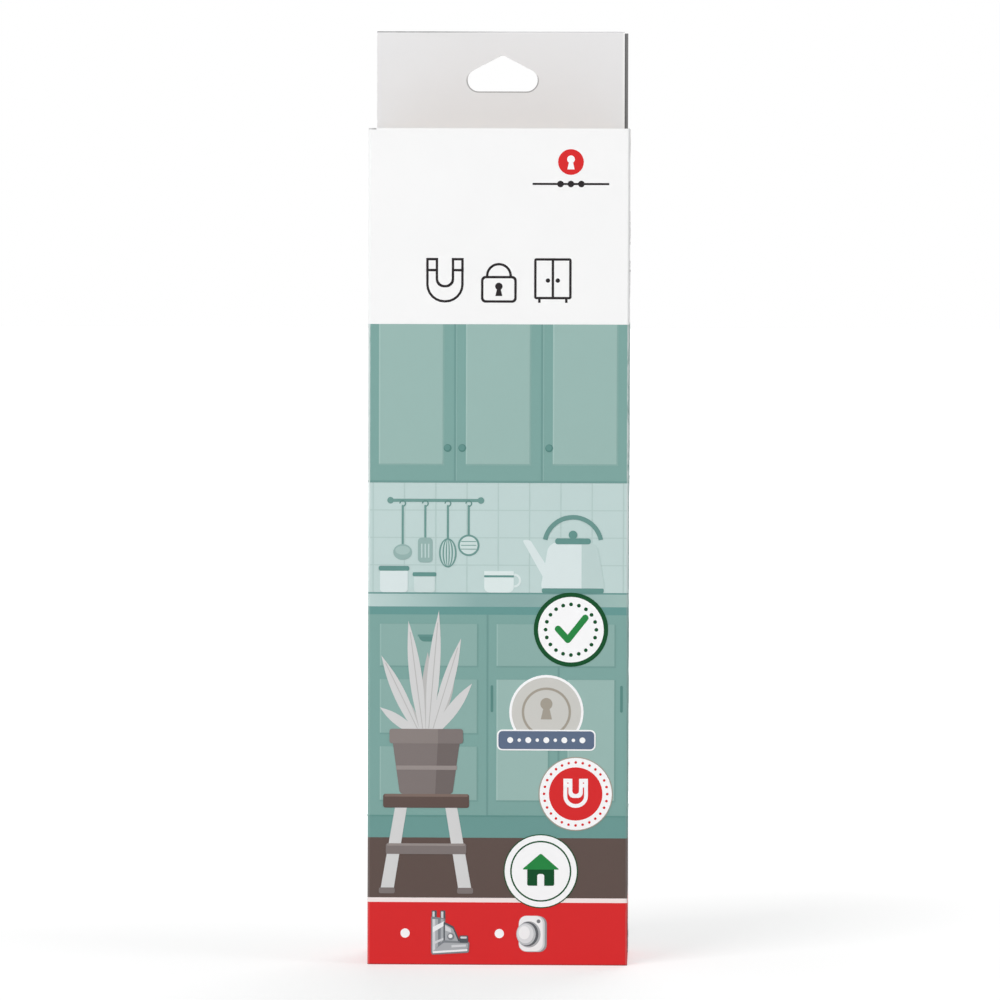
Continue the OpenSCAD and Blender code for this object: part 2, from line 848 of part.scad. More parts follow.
// Door plate with two grooved arms and a web between them
module strike_base() {
    color("lightgray") at_lock() difference() {
        union() {
            extrude_x(stack_t, plate_in) {
                rounded_rect([-half_d, strike_low], [half_d, strike_high], plate_corner_r);
            }
            for (side = [-1, 1]) {
                low = min(side * strike_arm_in, side * strike_arm_out);
                span([plate_mid, low, strike_arm_low],
                    [strike_arm_right, low + strike_arm_t, strike_arm_high]);
            }
            span([plate_mid, -strike_arm_in, strike_arm_high - web_t],
                [web_right, strike_arm_in, strike_arm_high]);
        }
        span([catch_left - catch_fit, -strike_arm_in - groove_deep, tongue_low - catch_fit],
            [catch_right + catch_fit, strike_arm_in + groove_deep, strike_arm_high + overrun]);
    }
}

// Sliding catch: pushed up it lets the hook pass, and the lock is off
module catch_slider() {
    half = strike_arm_in - catch_fit;
    wide = strike_arm_in + groove_deep - catch_fit;
    color("whitesmoke") at_lock() {
        span([catch_left, -half, catch_low], [catch_right, half, catch_high]);
        span([catch_left, -wide, tongue_low], [catch_right, wide, catch_high]);
        span([catch_left - ridge_out, -half / 2, catch_high],
            [catch_right, half / 2, catch_high + ridge_h]);
    }
}

module strike_pad() {
    color("dimgray") at_lock() extrude_x(liner_t, stack_t) {
        rounded_rect([-half_d + pad_margin, strike_low + pad_margin],
            [half_d - pad_margin, strike_high - pad_margin], plate_corner_r - pad_margin);
    }
}

// Release liner with a pull tab at the top
module strike_liner() {
    color("white") at_lock() extrude_x(0, liner_t) {
        rounded_rect([-half_d + pad_margin, strike_low + pad_margin],
            [half_d - pad_margin, strike_high - pad_margin + liner_tab],
            plate_corner_r - pad_margin);
    }
}

// L-shaped plate that holds the lock and the strike at their working distance
module alignment_cradle() {
    prong_2 = prong_left + prong_w + prong_gap;
    color("silver") at_lock() {
        extrude_y(cradle_front, cradle_back) {
            polygon([
                [cradle_edge, cradle_edge], [lock_w - cradle_edge, cradle_edge],
                [lock_w - cradle_edge, cradle_foot_top], [cradle_elbow_u, cradle_elbow_w],
                [cradle_leg_right, waist_w], [cradle_leg_right, cradle_top],
                [prong_2 + prong_w, cradle_top], [prong_2 + prong_w, lock_h],
                [prong_2, lock_h], [prong_2, cradle_top],
                [prong_left + prong_w, cradle_top], [prong_left + prong_w, lock_h],
                [prong_left, lock_h], [prong_left, cradle_top], [cradle_edge, cradle_top]
            ]);
        }
        span([plate_in + lip_gap, half_d - lip_reach, strike_lip_low],
            [plate_in + lip_gap + lip_t, cradle_front, strike_lip_low + lip_len]);
        span([foot_lip_left, half_d - lip_reach, plate_in + lip_gap],
            [foot_lip_left + lip_len, cradle_front, plate_in + lip_gap + lip_t]);
    }
}

carton_sleeve();
header_ply();
seam_flap();
bottom_flap();
dust_flap(-1);  // dust_flap_left
dust_flap(1);  // dust_flap_right
insert_face();
insert_middle();
insert_rear();
insert_back();
leaflet();
key_shell();
key_back_cover();
key_cover_screws();
knob_ring();
knob_cup();
key_magnet();
flux_plate();
felt_pad();
lock_base();
lock_hood();
hood_screws();
pivot_pin();
latch();
latch_magnet();
latch_spring();
lock_pad();
lock_liner();
strike_base();
catch_slider();
strike_pad();
strike_liner();
alignment_cradle();
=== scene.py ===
"""Magnetic cabinet lock in its hanging carton: board, print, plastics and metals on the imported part."""

import math

import bmesh
import bpy
from mathutils import Matrix, Vector


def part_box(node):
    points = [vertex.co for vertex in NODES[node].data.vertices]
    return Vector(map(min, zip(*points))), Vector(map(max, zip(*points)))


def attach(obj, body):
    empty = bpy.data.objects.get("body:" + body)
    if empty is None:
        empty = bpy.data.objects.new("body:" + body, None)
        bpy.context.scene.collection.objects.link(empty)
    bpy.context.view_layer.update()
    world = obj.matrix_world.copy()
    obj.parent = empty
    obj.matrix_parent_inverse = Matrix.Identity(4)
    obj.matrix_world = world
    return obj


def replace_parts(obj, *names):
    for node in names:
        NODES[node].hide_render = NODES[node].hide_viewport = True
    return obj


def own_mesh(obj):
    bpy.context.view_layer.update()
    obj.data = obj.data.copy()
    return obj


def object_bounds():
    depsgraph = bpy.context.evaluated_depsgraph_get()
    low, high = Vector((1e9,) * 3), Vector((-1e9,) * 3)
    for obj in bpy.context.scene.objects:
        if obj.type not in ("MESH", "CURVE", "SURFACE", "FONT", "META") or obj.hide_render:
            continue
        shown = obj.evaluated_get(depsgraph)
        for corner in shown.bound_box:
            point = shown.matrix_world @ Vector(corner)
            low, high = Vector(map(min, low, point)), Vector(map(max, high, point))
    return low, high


bl_info = {
    "name": "Hanging carton with magnetic lock",
    "version": (1, 0, 0),
    "blender": (4, 5, 0),
    "location": "3D View > Sidebar > Lock carton",
    "description": "Dresses the packed lock carton and sets its stage",
    "category": "Object",
}

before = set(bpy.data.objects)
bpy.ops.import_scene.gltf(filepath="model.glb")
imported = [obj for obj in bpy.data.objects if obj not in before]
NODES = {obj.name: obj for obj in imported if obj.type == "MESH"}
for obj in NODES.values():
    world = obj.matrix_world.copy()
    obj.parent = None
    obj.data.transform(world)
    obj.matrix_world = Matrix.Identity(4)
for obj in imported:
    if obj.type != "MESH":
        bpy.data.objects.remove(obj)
CAD_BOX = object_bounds()
MM = 0.001

# One printed layer over the next, and how deep each starts in the board
LEVEL = 0.02
SUNK = 0.02
# Shapes of one level differ by a hair, so that no two faces lie in one plane
HAIR = 0.0016
HAIRS = 9

# Layout of the print, in millimetres from a panel's middle and the carton's foot
FRONT_REACH, SIDE_REACH = 36.9, 19.3
ICON_ROW, RED_ROW = 197.4, 9.1
TILE, TILE_ROWS, JOINT_HALF = 9, 4, 0.17
SEAM_HALF = 0.28
# From foot to top
DRAWER, DOOR = (86, 98.5), (47.2, 82.5)

# Carton board: round of its corners and depth of its coat
BEND, SKIN = 0.8 * MM, 0.06 * MM
# Stacked board: one layer and one wave
PLY, FLUTE = 4.03 * MM, 6.4 * MM
# Hanging hole: its foot under the header's top, where its ends begin, and their round
HOLE_DROP, HOLE_HALF, HOLE_ROUND = 17.5 * MM, 6.95 * MM, 3.3 * MM

SHEETS = 3
OPEN_TURNS, TURN_STEPS = 4, 28
SAME_POINT = 0.002 * MM
SHARP = math.radians(38)
FLOOR_HALF = 8


# Settings


def seen(red, green, blue):
    """A colour as it is seen, 0 to 255, made linear."""
    return tuple(((c / 255 + 0.055) / 1.055) ** 2.4 for c in (red, green, blue))


def colour(name, description, *seen_as):
    return bpy.props.FloatVectorProperty(
        name=name, description=description, default=seen(*seen_as), size=3, min=0, max=1, subtype="COLOR"
    )


def number(name, description, value, **kind):
    return bpy.props.FloatProperty(name=name, description=description, default=value, **kind)


def length(name, description, mm):
    return number(name, description, mm * MM, min=0, precision=5, unit="LENGTH", subtype="DISTANCE")


def angle(name, description, degrees):
    return number(name, description, math.radians(degrees), subtype="ANGLE")


def power(name, description, watts):
    return number(name, description, watts, min=0, unit="POWER")


class CARTON_PG_fields(bpy.types.PropertyGroup):
    """Heights and inks of the fields printed round the carton."""

    title_foot: length("Title field's foot", "Where the white field ends", 184.8)
    wall_foot: length("Wall doors' foot", "Where the wall doors end", 139.2)
    splash_foot: length("Tiles' foot", "Where the tiled field ends", 107.6)
    worktop_foot: length("Worktop's foot", "Where the worktop's lit edge ends", 103.5)
    shade_foot: length("Shade's foot", "Where the worktop's shade ends", 101.2)
    plinth_top: length("Plinth's top", "Where the cupboards stand on their plinth", 43.2)
    cupboard_foot: length("Plinth's foot", "Where the plinth meets the floor", 36.8)
    floor_foot: length("Floor's foot", "Where the printed floor ends", 19.4)
    line_foot: length("White line's foot", "Where the white line ends", 18.1)
    white: colour("White", "Ink-free white of the title field", 248, 248, 248)
    teal: colour("Teal", "Cupboard frames", 126, 166, 160)
    panel: colour("Light teal", "Cupboard panels", 154, 185, 179)
    drawer: colour("Drawer teal", "Drawer fronts", 140, 175, 169)
    seam: colour("Seam teal", "Lines between doors", 112, 153, 148)
    handle: colour("Handle teal", "Knobs and handles", 100, 146, 140)
    splash: colour("Tile", "Tiles over the worktop", 194, 214, 212)
    joint: colour("Joint", "Joints between tiles", 182, 204, 201)
    shade: colour("Shade", "Shade under the worktop", 103, 152, 148)
    plinth: colour("Plinth", "Plinth under the cupboards", 108, 153, 148)
    floor: colour("Floor", "Brown printed floor", 95, 80, 75)
    red: colour("Red", "Field at the foot", 217, 43, 45)
    header: colour("Header", "Face of the hanging header", 235, 235, 236)
    strip: colour("Strip", "Shaded strip beside the header's ply", 126, 126, 126)


class CARTON_PG_inks(bpy.types.PropertyGroup):
    """Inks and sizes of the pictures on the carton."""

    dark: colour("Black", "Line pictures", 38, 34, 36)
    pale: colour("Pale grey", "Light parts of the stool and plant", 213, 213, 213)
    mid: colour("Soft grey", "Shaded leaves", 190, 189, 188)
    taupe: colour("Taupe", "Pot", 127, 118, 116)
    brown: colour("Brown", "Stool", 96, 80, 75)
    enamel: colour("Enamel", "Kettle and jar", 219, 231, 231)
    green: colour("Green", "Green badge and house", 11, 74, 38)
    leaf: colour("Bright green", "Tick and roof", 38, 132, 66)
    badge: colour("Badge white", "Badge faces", 251, 251, 252)
    beige: colour("Beige", "Second badge", 205, 204, 199)
    stone: colour("Stone", "Ring on the second badge", 165, 158, 146)
    slate: colour("Slate", "Banner of the second badge", 95, 110, 135)
    badge_r: length("Badge radius", "Outer radius of the four badges", 10.7)
    line_w: length("Line width", "Width of the thin line pictures", 0.7)


class CARTON_PG_goods(bpy.types.PropertyGroup):
    """Colours and sizes of what the carton holds."""

    raw: colour("Raw board", "Grey inside of the carton board", 186, 181, 172)
    kraft: colour("Kraft", "Liners of the stacked board", 176, 141, 104)
    paper: colour("Paper", "Folded instructions", 238, 236, 230)
    key: colour("Key plastic", "Grip plate and knob of the key", 232, 233, 232)
    ring: colour("Ring rubber", "Dark ring round the knob", 58, 60, 62)
    felt: colour("Felt", "Felt on the knob's face", 92, 94, 97)
    lock: colour("Lock plastic", "Foot plates, cheeks and hood", 178, 181, 184)
    latch: colour("Latch plastic", "Hook and catch", 206, 209, 212)
    cradle: colour("Cradle plastic", "Frosted holder", 150, 155, 160)
    foam: colour("Foam", "Adhesive foam pads", 236, 236, 233)
    liner: colour("Liner", "Release paper on the pads", 205, 172, 96)
    edge: length("Edge round", "Round on moulded edges", 0.25)
    wire: length("Spring wire", "Diameter of the spring's wire", 0.5)
    sheet: length("Leaflet sheet", "Thickness of one leaflet sheet", 0.22)


class CARTON_PG_stage(bpy.types.PropertyGroup):
    """Camera and light."""

    far: length("Camera distance", "From the carton's middle axis", 2000)
    tall: length("Camera height", "Above the floor", 228.83)
    lens: number("Lens", "Focal length in millimetres", 248.17, unit="CAMERA")
    aside: angle("Camera aside", "Turned to the right side", 1.38)
    down: angle("Camera down", "Tilted to the floor", 2.734)
    roll: angle("Camera roll", "Turned about its axis", 0.147)
    key_power: power("Main lamp", "From the front left", 56)
    fill_power: power("Side lamp", "From the right", 14)
    back_power: power("Back lamp", "From behind", 40)
    ambient: number("Ambient", "Even light of the room", 0.3, min=0)


# Shader maths


def shader_math(operation):
    """A Python operator that adds a Math node."""
    return lambda wire, *others: wire.math(operation, *others)


class Wire:
    """A shader socket that works in Python expressions."""

    def __init__(self, nodes, socket):
        self.nodes = nodes
        self.socket = socket

    def math(self, operation, *others):
        return self.nodes.math(operation, self, *others)

    def __rsub__(self, other):
        return self.nodes.math("SUBTRACT", other, self)

    __add__ = __radd__ = shader_math("ADD")
    __sub__ = shader_math("SUBTRACT")
    __mul__ = __rmul__ = shader_math("MULTIPLY")
    __truediv__ = shader_math("DIVIDE")
    __gt__ = shader_math("GREATER_THAN")
    __lt__ = shader_math("LESS_THAN")
    __abs__ = shader_math("ABSOLUTE")

    def ramp(self, low, high):
        """0 below low, 1 above high and smooth between."""
        values = {"Value": self, "From Min": low, "From Max": high}
        return self.nodes.node("ShaderNodeMapRange", {"interpolation_type": "SMOOTHSTEP"}, values)


class Nodes:
    """A node tree and the ways to add to it."""

    def __init__(self, tree):
        self.tree = tree

    def set(self, socket, value):
        if isinstance(value, Wire):
            self.tree.links.new(value.socket, socket)
        elif socket.type == "RGBA":
            socket.default_value = (*tuple(value)[:3], 1)
        else:
            socket.default_value = value

    def node(self, kind, settings, values, output=0):
        """One node: its settings first, then its sockets' values or links."""
        made = self.tree.nodes.new(kind)
        for name, setting in settings.items():
            if name == "stops":
                while len(made.color_ramp.elements) < len(setting):
                    made.color_ramp.elements.new(1)
                for stop, (at, tone) in zip(made.color_ramp.elements, setting):
                    stop.position = at
                    stop.color = (*tone, 1)
            else:
                setattr(made, name, setting)
        for key, value in values.items():
            self.set(made.inputs[key], value)
        return Wire(self, made.outputs[output])

    def math(self, operation, *values):
        return self.node("ShaderNodeMath", {"operation": operation}, dict(enumerate(values)))

    def mix(self, share, first, second):
        """first where share is 0, second where it is 1."""
        return self.node("ShaderNodeMix", {"data_type": "RGBA"}, {0: share, 6: first, 7: second}, 2)

    def scaled(self, tone, share):
        return self.node("ShaderNodeVectorMath", {"operation": "SCALE"}, {0: tone, "Scale": share})

    def looked_at(self):
        """1 for rays from the camera and in reflections, 0 for the light on things."""
        camera, glossy, through = (
            self.node("ShaderNodeLightPath", {}, {}, f"Is {ray} Ray") for ray in ("Camera", "Glossy", "Transmission")
        )
        return camera.math("MAXIMUM", glossy.math("MAXIMUM", through))


class Paint(Nodes):
    """One material and its nodes."""

    def __init__(self, name, **fixed):
        self.material = bpy.data.materials.new(name)
        self.material.use_nodes = True
        super().__init__(self.material.node_tree)
        self.shader = next(n for n in self.tree.nodes if n.type == "BSDF_PRINCIPLED")
        for socket, value in fixed.items():
            self.shader.inputs[socket.replace("_", " ").title().replace("Ior", "IOR")].default_value = value
        self.place = self.node("ShaderNodeTexCoord", {}, {}, "Object")

    def axes(self, vector=None):
        """The three parts of the place, in metres, or of another vector."""
        return [self.node("ShaderNodeSeparateXYZ", {}, {0: vector or self.place}, axis) for axis in "XYZ"]

    def noise(self, scale, detail=2, rough=0.5, stretch=None):
        place = self.place
        if stretch:
            place = self.node("ShaderNodeMapping", {}, {"Vector": place, "Scale": stretch})
        values = {"Vector": place, "Scale": scale, "Detail": detail, "Roughness": rough}
        return self.node("ShaderNodeTexNoise", {}, values)

    def finish(self, tone, rough, height=None, depth=0.02, strength=0.5, **more):
        """Links what changes over the surface and gives the material back."""
        for socket, value in {"Base_Color": tone, "Roughness": rough, **more}.items():
            self.set(self.shader.inputs[socket.replace("_", " ")], value)
        if height is not None:
            values = {"Height": height, "Distance": depth * MM, "Strength": strength}
            self.set(self.shader.inputs["Normal"], self.node("ShaderNodeBump", {}, values))
        return self.material


def coated(name):
    """Varnished board, for the board and for the print on it: its material, roughness and height."""
    paint = Paint(name, specular_ior_level=0.12)
    cloud = paint.noise(90, 3)
    fibre = paint.noise(900, 3, 0.6, (1, 1, 0.45))
    grain = paint.noise(3200, 2)
    return paint, 0.42 + 0.1 * cloud + 0.06 * fibre, fibre * 0.65 + grain * 0.35


def shell_depth(paint, half_w, half_d, radius):
    """A place's distance from the carton's skin, below 0 inside, its depth into a corner, and its x, y and z."""
    x, y, z = paint.axes()
    over_x = abs(x) - (half_w - radius)
    over_y = abs(y) - (half_d - radius)
    out_x, out_y = over_x.math("MAXIMUM", 0), over_y.math("MAXIMUM", 0)
    away = (out_x * out_x + out_y * out_y).math("SQRT")
    flat = over_x.math("MAXIMUM", over_y).math("MINIMUM", 0)
    return away + flat - radius, over_x.math("MINIMUM", over_y), x, y, z


def carton_board(fields, goods):
    """Printed fields outside, raw grey inside and on cut edges, worn white along the creases, with painted shade
    along the foot, in the gap at the top left corner and on the raw strip beside the header's ply.
    """
    low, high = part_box("carton_sleeve")
    front_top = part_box("insert_face")[1].z + 0.3 * MM
    paint, rough, height = coated("carton_print")
    depth, corner, x, y, z = shell_depth(paint, high.x, high.y, BEND)
    # The worktop's edge is lit at its left
    stops = (
        (0, seen(190, 211, 209)),
        (0.13, seen(178, 203, 200)),
        (0.42, seen(140, 174, 171)),
        (0.62, seen(139, 172, 169)),
        (1, seen(160, 189, 184)),
    )
    lit = paint.node("ShaderNodeValToRGB", {"stops": stops}, {0: (x + high.x) / (2 * high.x)})
    tone = fields.red
    for foot, ink in (
        (fields.line_foot, seen(246, 233, 231)),
        (fields.floor_foot, fields.floor),
        (fields.cupboard_foot, fields.plinth),
        (fields.plinth_top, fields.teal),
        (fields.shade_foot, fields.shade),
        (fields.worktop_foot, lit),
        (fields.splash_foot - 0.45 * MM, seen(106, 151, 147)),
        (fields.splash_foot, fields.splash),
        (fields.wall_foot, fields.teal),
        (fields.title_foot, fields.white),
    ):
        tone = paint.mix(z > foot, tone, ink)
    tone = paint.scaled(tone, 0.985 + 0.03 * paint.noise(60))
    wear = paint.noise(420, 4, 0.65, (1, 1, 0.25))
    handled = 0.12 + 0.88 * z.ramp(90 * MM, 150 * MM)
    crease = corner.ramp(0.12 * MM, 0.36 * MM) * wear.ramp(0.28, 0.52) * handled
    tone = paint.mix(crease * 0.62, tone, seen(244, 246, 246))
    # Painted shade along the carton's foot edge
    tone = paint.mix(0.8 * (1 - z.ramp(0.05 * MM, 0.4 * MM)), tone, seen(92, 60, 58))
    # Painted shade of the gap on the top edge, from the left corner to the header
    gap_shade = x.ramp(low.x - 1.2 * MM, low.x + 2 * MM) * (1 - x.ramp(low.x + 2 * MM, low.x + 2.5 * MM))
    gap_shade = gap_shade * z.ramp(front_top - 0.6 * MM, front_top - 0.2 * MM)
    tone = paint.mix(0.75 * gap_shade, tone, seen(120, 120, 121))
    raw = paint.mix(paint.noise(1500, 3, 0.7).ramp(0.35, 0.7), seen(168, 162, 152), goods.raw)
    # The strip of raw board beside the header's ply is darkened as painted shade
    raw = paint.mix((z > front_top) * (depth < -0.4 * MM), raw, fields.strip)
    printed = depth > -SKIN
    tone = paint.mix(printed, raw, tone)
    rough = rough + 0.35 * (1 - printed)
    return paint.finish(tone, rough, height, 0.015, 0.35, Coat_Weight=0.02 * printed)


def header_board(fields):
    """Pale grey coated board, lighter towards its foot as painted light, with a dark line along the fold at the top
    and a painted highlight along the right edge.
    """
    low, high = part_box("header_ply")
    paint, rough, height = coated("header_print")
    x, y, z = paint.axes()
    # Painted light: lighter towards the header's foot, against the shade that falls there
    foot = 1 - z.ramp(low.z - 2 * MM, low.z + 24 * MM)
    tone = paint.mix(foot * 0.85, fields.header, seen(247, 250, 252))
    tone = paint.scaled(tone, 0.98 + 0.04 * paint.noise(45, 3, 0.55))
    # Painted highlight along the ply's right edge
    tone = paint.mix((x > high.x - 0.62 * MM) * 0.85, tone, seen(243, 243, 243))
    # A dark line along the fold at the top, darker towards the left
    fold = z.ramp(high.z - 0.5 * MM, high.z - 0.12 * MM)
    patchy = paint.noise(500, 4, 0.7)
    dull = 0.25 + 0.75 * (1 - x.ramp(-22 * MM, 6 * MM))
    tone = paint.mix(fold * (0.55 + 0.4 * patchy) * dull, tone, seen(104, 104, 105))
    # A grey rim round the hanging hole's foot and ends
    aside = (abs(x) - HOLE_HALF).math("MAXIMUM", 0)
    above = z - (high.z - HOLE_DROP + HOLE_ROUND)
    away = (aside * aside + above * above).math("SQRT") - HOLE_ROUND
    rim = (1 - away.ramp(0.2 * MM, 0.5 * MM)) * (1 - above.ramp(-0.4 * MM, 2.4 * MM))
    tone = paint.mix(rim * (0.5 + 0.3 * patchy), tone, seen(118, 118, 119))
    return paint.finish(tone, rough + 0.05, height, 0.015, 0.35)


def raw_board(goods):
    """Grey recycled board with pale and dark fibres."""
    paint = Paint("raw_board", specular_ior_level=0.25)
    fibre = paint.noise(1300, 4, 0.7, (1, 1, 0.5))
    dust = paint.noise(4200, 2)
    tone = paint.mix(fibre.ramp(0.3, 0.72), seen(160, 154, 144), goods.raw)
    tone = paint.mix(dust.ramp(0.66, 0.74) * 0.5, tone, seen(112, 105, 96))
    return paint.finish(tone, 0.74 + 0.16 * fibre, fibre * 0.6 + dust * 0.4, 0.04, 0.6)


def print_ink():
    """Inks on the coated board, each shape in its own; the panels and the leaflet share it."""
    made = bpy.data.materials.get("print_ink")
    if made:
        return made
    paint, rough, height = coated("print_ink")
    inks = paint.node("ShaderNodeAttribute", {"attribute_name": "ink"}, {}, "Color")
    cloud = paint.noise(60)
    tone = paint.scaled(inks, 0.985 + 0.02 * cloud + 0.01 * paint.noise(2600))
    return paint.finish(tone, rough, height, 0.015, 0.35, Coat_Weight=0.01 + 0.02 * cloud)


def stacked_board(goods):
    """Plies of fluted board glued into a block: fibrous liners, and waves on the cut edges with painted shade in
    their hollows.
    """
    paint = Paint("stacked_board", specular_ior_level=0.2)
    x, y, z = paint.axes()
    across = ((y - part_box("insert_face")[0].y) / PLY).math("FRACT")
    wave = (x * (2 * math.pi / FLUTE)).math("SINE")
    flute = 1 - abs(across - (wave * 0.38 + 0.5)).ramp(0.06, 0.15)
    liner = abs(across - 0.5).ramp(0.4, 0.445)
    normal = paint.node("ShaderNodeTexCoord", {}, {}, "Normal")
    cut = 1 - abs(paint.axes(normal)[1]).ramp(0.4, 0.6)
    fibre = paint.noise(1100, 4, 0.7, (1, 1, 0.3))
    tone = paint.mix(fibre.ramp(0.28, 0.75), seen(152, 118, 82), goods.kraft)
    tone = paint.scaled(tone, 0.92 + 0.16 * paint.noise(70, 3))
    solid = flute.math("MAXIMUM", liner)
    # Painted shade in the hollows between the flutes on the cut edges
    edge = paint.mix(solid, seen(110, 82, 56), seen(190, 154, 113))
    edge = paint.scaled(edge, 0.9 + 0.2 * fibre)
    tone = paint.mix(cut, tone, edge)
    height = fibre * 0.25 + (wave * 0.5 + 0.5) * 0.2 * (1 - cut) + solid * cut
    return paint.finish(tone, 0.82 + 0.12 * fibre, height, 0.12, 0.5)


def leaflet_paper(goods):
    """Thin uncoated paper with a soft mottle."""
    paint = Paint("leaflet_paper", specular_ior_level=0.25)
    mottle = paint.noise(260, 4, 0.6)
    grain = paint.noise(2400, 3, 0.6)
    tone = paint.scaled(goods.paper, 0.95 + 0.06 * mottle + 0.03 * grain)
    return paint.finish(tone, 0.45 + 0.18 * mottle, grain * 0.7 + mottle * 0.3, 0.02, 0.5)


def moulded(name, tone, shine, grain=1400, depth=0.012, coat=0.0, marks=0.03, silver=0.0):
    """Injection-moulded plastic: fine spark-eroded grain, faint flow lines and rubbed edges."""
    paint = Paint(name, specular_ior_level=0.5, coat_roughness=0.12)
    skin = paint.noise(grain, 3, 0.6)
    flow = paint.noise(70, 3, 0.55, (1, 1, 0.35))
    rub = paint.noise(380, 5, 0.7)
    shade = paint.scaled(tone, 1 - marks + 2 * marks * flow)
    shade = paint.mix(rub.ramp(0.62, 0.8) * 0.12, shade, seen(250, 250, 250))
    more = {}
    if coat:
        more["Coat_Weight"] = coat * (0.6 + 0.4 * flow)
    if silver:
        more["Metallic"] = silver * (0.8 + 0.2 * flow)
    return paint.finish(shade, shine + 0.1 * flow + 0.05 * rub, skin, depth, 0.4, **more)


def metal(name, tone, shine, lines=(1, 1, 1), scratch=0.08):
    """Plated or drawn metal with fine lines and a soft stain."""
    paint = Paint(name)
    drawn = paint.noise(900, 4, 0.6, lines)
    stain = paint.noise(160, 4, 0.6)
    shade = paint.mix(stain.ramp(0.35, 0.75) * 0.35, tone, tuple(0.62 * part for part in tone))
    rough = shine + scratch * drawn + 0.08 * stain
    return paint.finish(shade, rough, drawn, 0.01, 0.35, Metallic=0.96 + 0.04 * stain)


def rubber(goods):
    """Dark matt rubber with mould bloom."""
    paint = Paint("ring_rubber", specular_ior_level=0.35)
    bloom = paint.noise(240, 4, 0.6)
    grain = paint.noise(2600, 2)
    tone = paint.mix(bloom.ramp(0.45, 0.8) * 0.4, goods.ring, seen(88, 90, 92))
    return paint.finish(tone, 0.55 + 0.2 * bloom, grain, 0.03, 0.5)


def felt(goods):
    """Pressed wool felt: short fibres in two greys."""
    paint = Paint("felt", specular_ior_level=0.15, sheen_weight=0.35, sheen_roughness=0.5)
    fibre = paint.noise(1500, 6, 0.75, (1, 1, 2.2))
    tuft = paint.noise(420, 4, 0.6)
    tone = paint.mix(fibre.ramp(0.3, 0.7), seen(66, 68, 71), goods.felt)
    tone = paint.mix(tuft.ramp(0.6, 0.8) * 0.4, tone, seen(140, 142, 145))
    return paint.finish(tone, 0.88 + 0.1 * fibre, fibre * 0.7 + tuft * 0.3, 0.18, 0.8)


def foam(goods):
    """Closed-cell foam: cells all over, each darker in its hollow as painted shade."""
    paint = Paint("foam_pad", specular_ior_level=0.2)
    values = {"Vector": paint.place, "Scale": 2600.0}
    cells = paint.node("ShaderNodeTexVoronoi", {"feature": "F1"}, values, "Distance")
    cloud = paint.noise(200, 3)
    # Painted shade: each cell darker towards its hollow middle
    tone = paint.mix(cells.ramp(0.1, 0.6), seen(205, 205, 201), goods.foam)
    return paint.finish(tone, 0.78 + 0.15 * cloud, cells, 0.12, 0.6)


def liner_paper(goods):
    """Glossy release paper in amber with faint crossed lines."""
    paint = Paint("liner_paper", specular_ior_level=0.5)
    x, y, z = paint.axes()
    weave = ((x + z) * 4200).math("SINE") * ((x - z) * 4200).math("SINE")
    cloud = paint.noise(120, 3)
    tone = paint.scaled(goods.liner, 0.94 + 0.05 * weave + 0.08 * cloud)
    return paint.finish(tone, 0.28 + 0.12 * cloud, weave * 0.5 + 0.5, 0.01, 0.3)


# Pieces


def mesh_object(name, shape, material):
    """Turns a bmesh in metres into an object of the scene."""
    mesh = bpy.data.meshes.new(name)
    shape.to_mesh(mesh)
    shape.free()
    mesh.materials.append(material)
    made = bpy.data.objects.new(name, mesh)
    bpy.context.scene.collection.objects.link(made)
    return made


def new_piece(name, shape, material, body):
    """Turns a bmesh in metres into a piece that rides on a body."""
    bmesh.ops.recalc_face_normals(shape, faces=shape.faces[:])
    piece = mesh_object(name, shape, material)
    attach(piece, body)
    return piece


def dress(nodes, material, edge=0.0):
    """Gives CAD nodes their finish, and their moulded edges a small round."""
    for node in nodes.split():
        held = NODES[node]
        held.data.materials.clear()
        held.data.materials.append(material)
        if edge:
            held.modifiers.new("weld", "WELD").merge_threshold = SAME_POINT
            bevel = held.modifiers.new("round", "BEVEL")
            bevel.width = edge
            bevel.segments = 2
            bevel.limit_method = "ANGLE"
            bevel.angle_limit = SHARP


def kind_of(kind, parts):
    """The points, edges or faces among what an operator made."""
    return [part for part in parts if isinstance(part, kind)]


def polygon(points, radius=0.0, at=None, segments=6):
    """A flat polygon, with round corners at all or some of its points."""
    shape = bmesh.new()
    corners = [shape.verts.new((u, v, 0)) for u, v in points]
    shape.faces.new(corners)
    if radius:
        bmesh.ops.bevel(
            shape,
            geom=corners if at is None else [corners[k] for k in at],
            offset=radius,
            offset_type="OFFSET",
            segments=segments,
            profile=0.5,
            affect="VERTICES",
            material=-1,
            clamp_overlap=True,
        )
    return shape


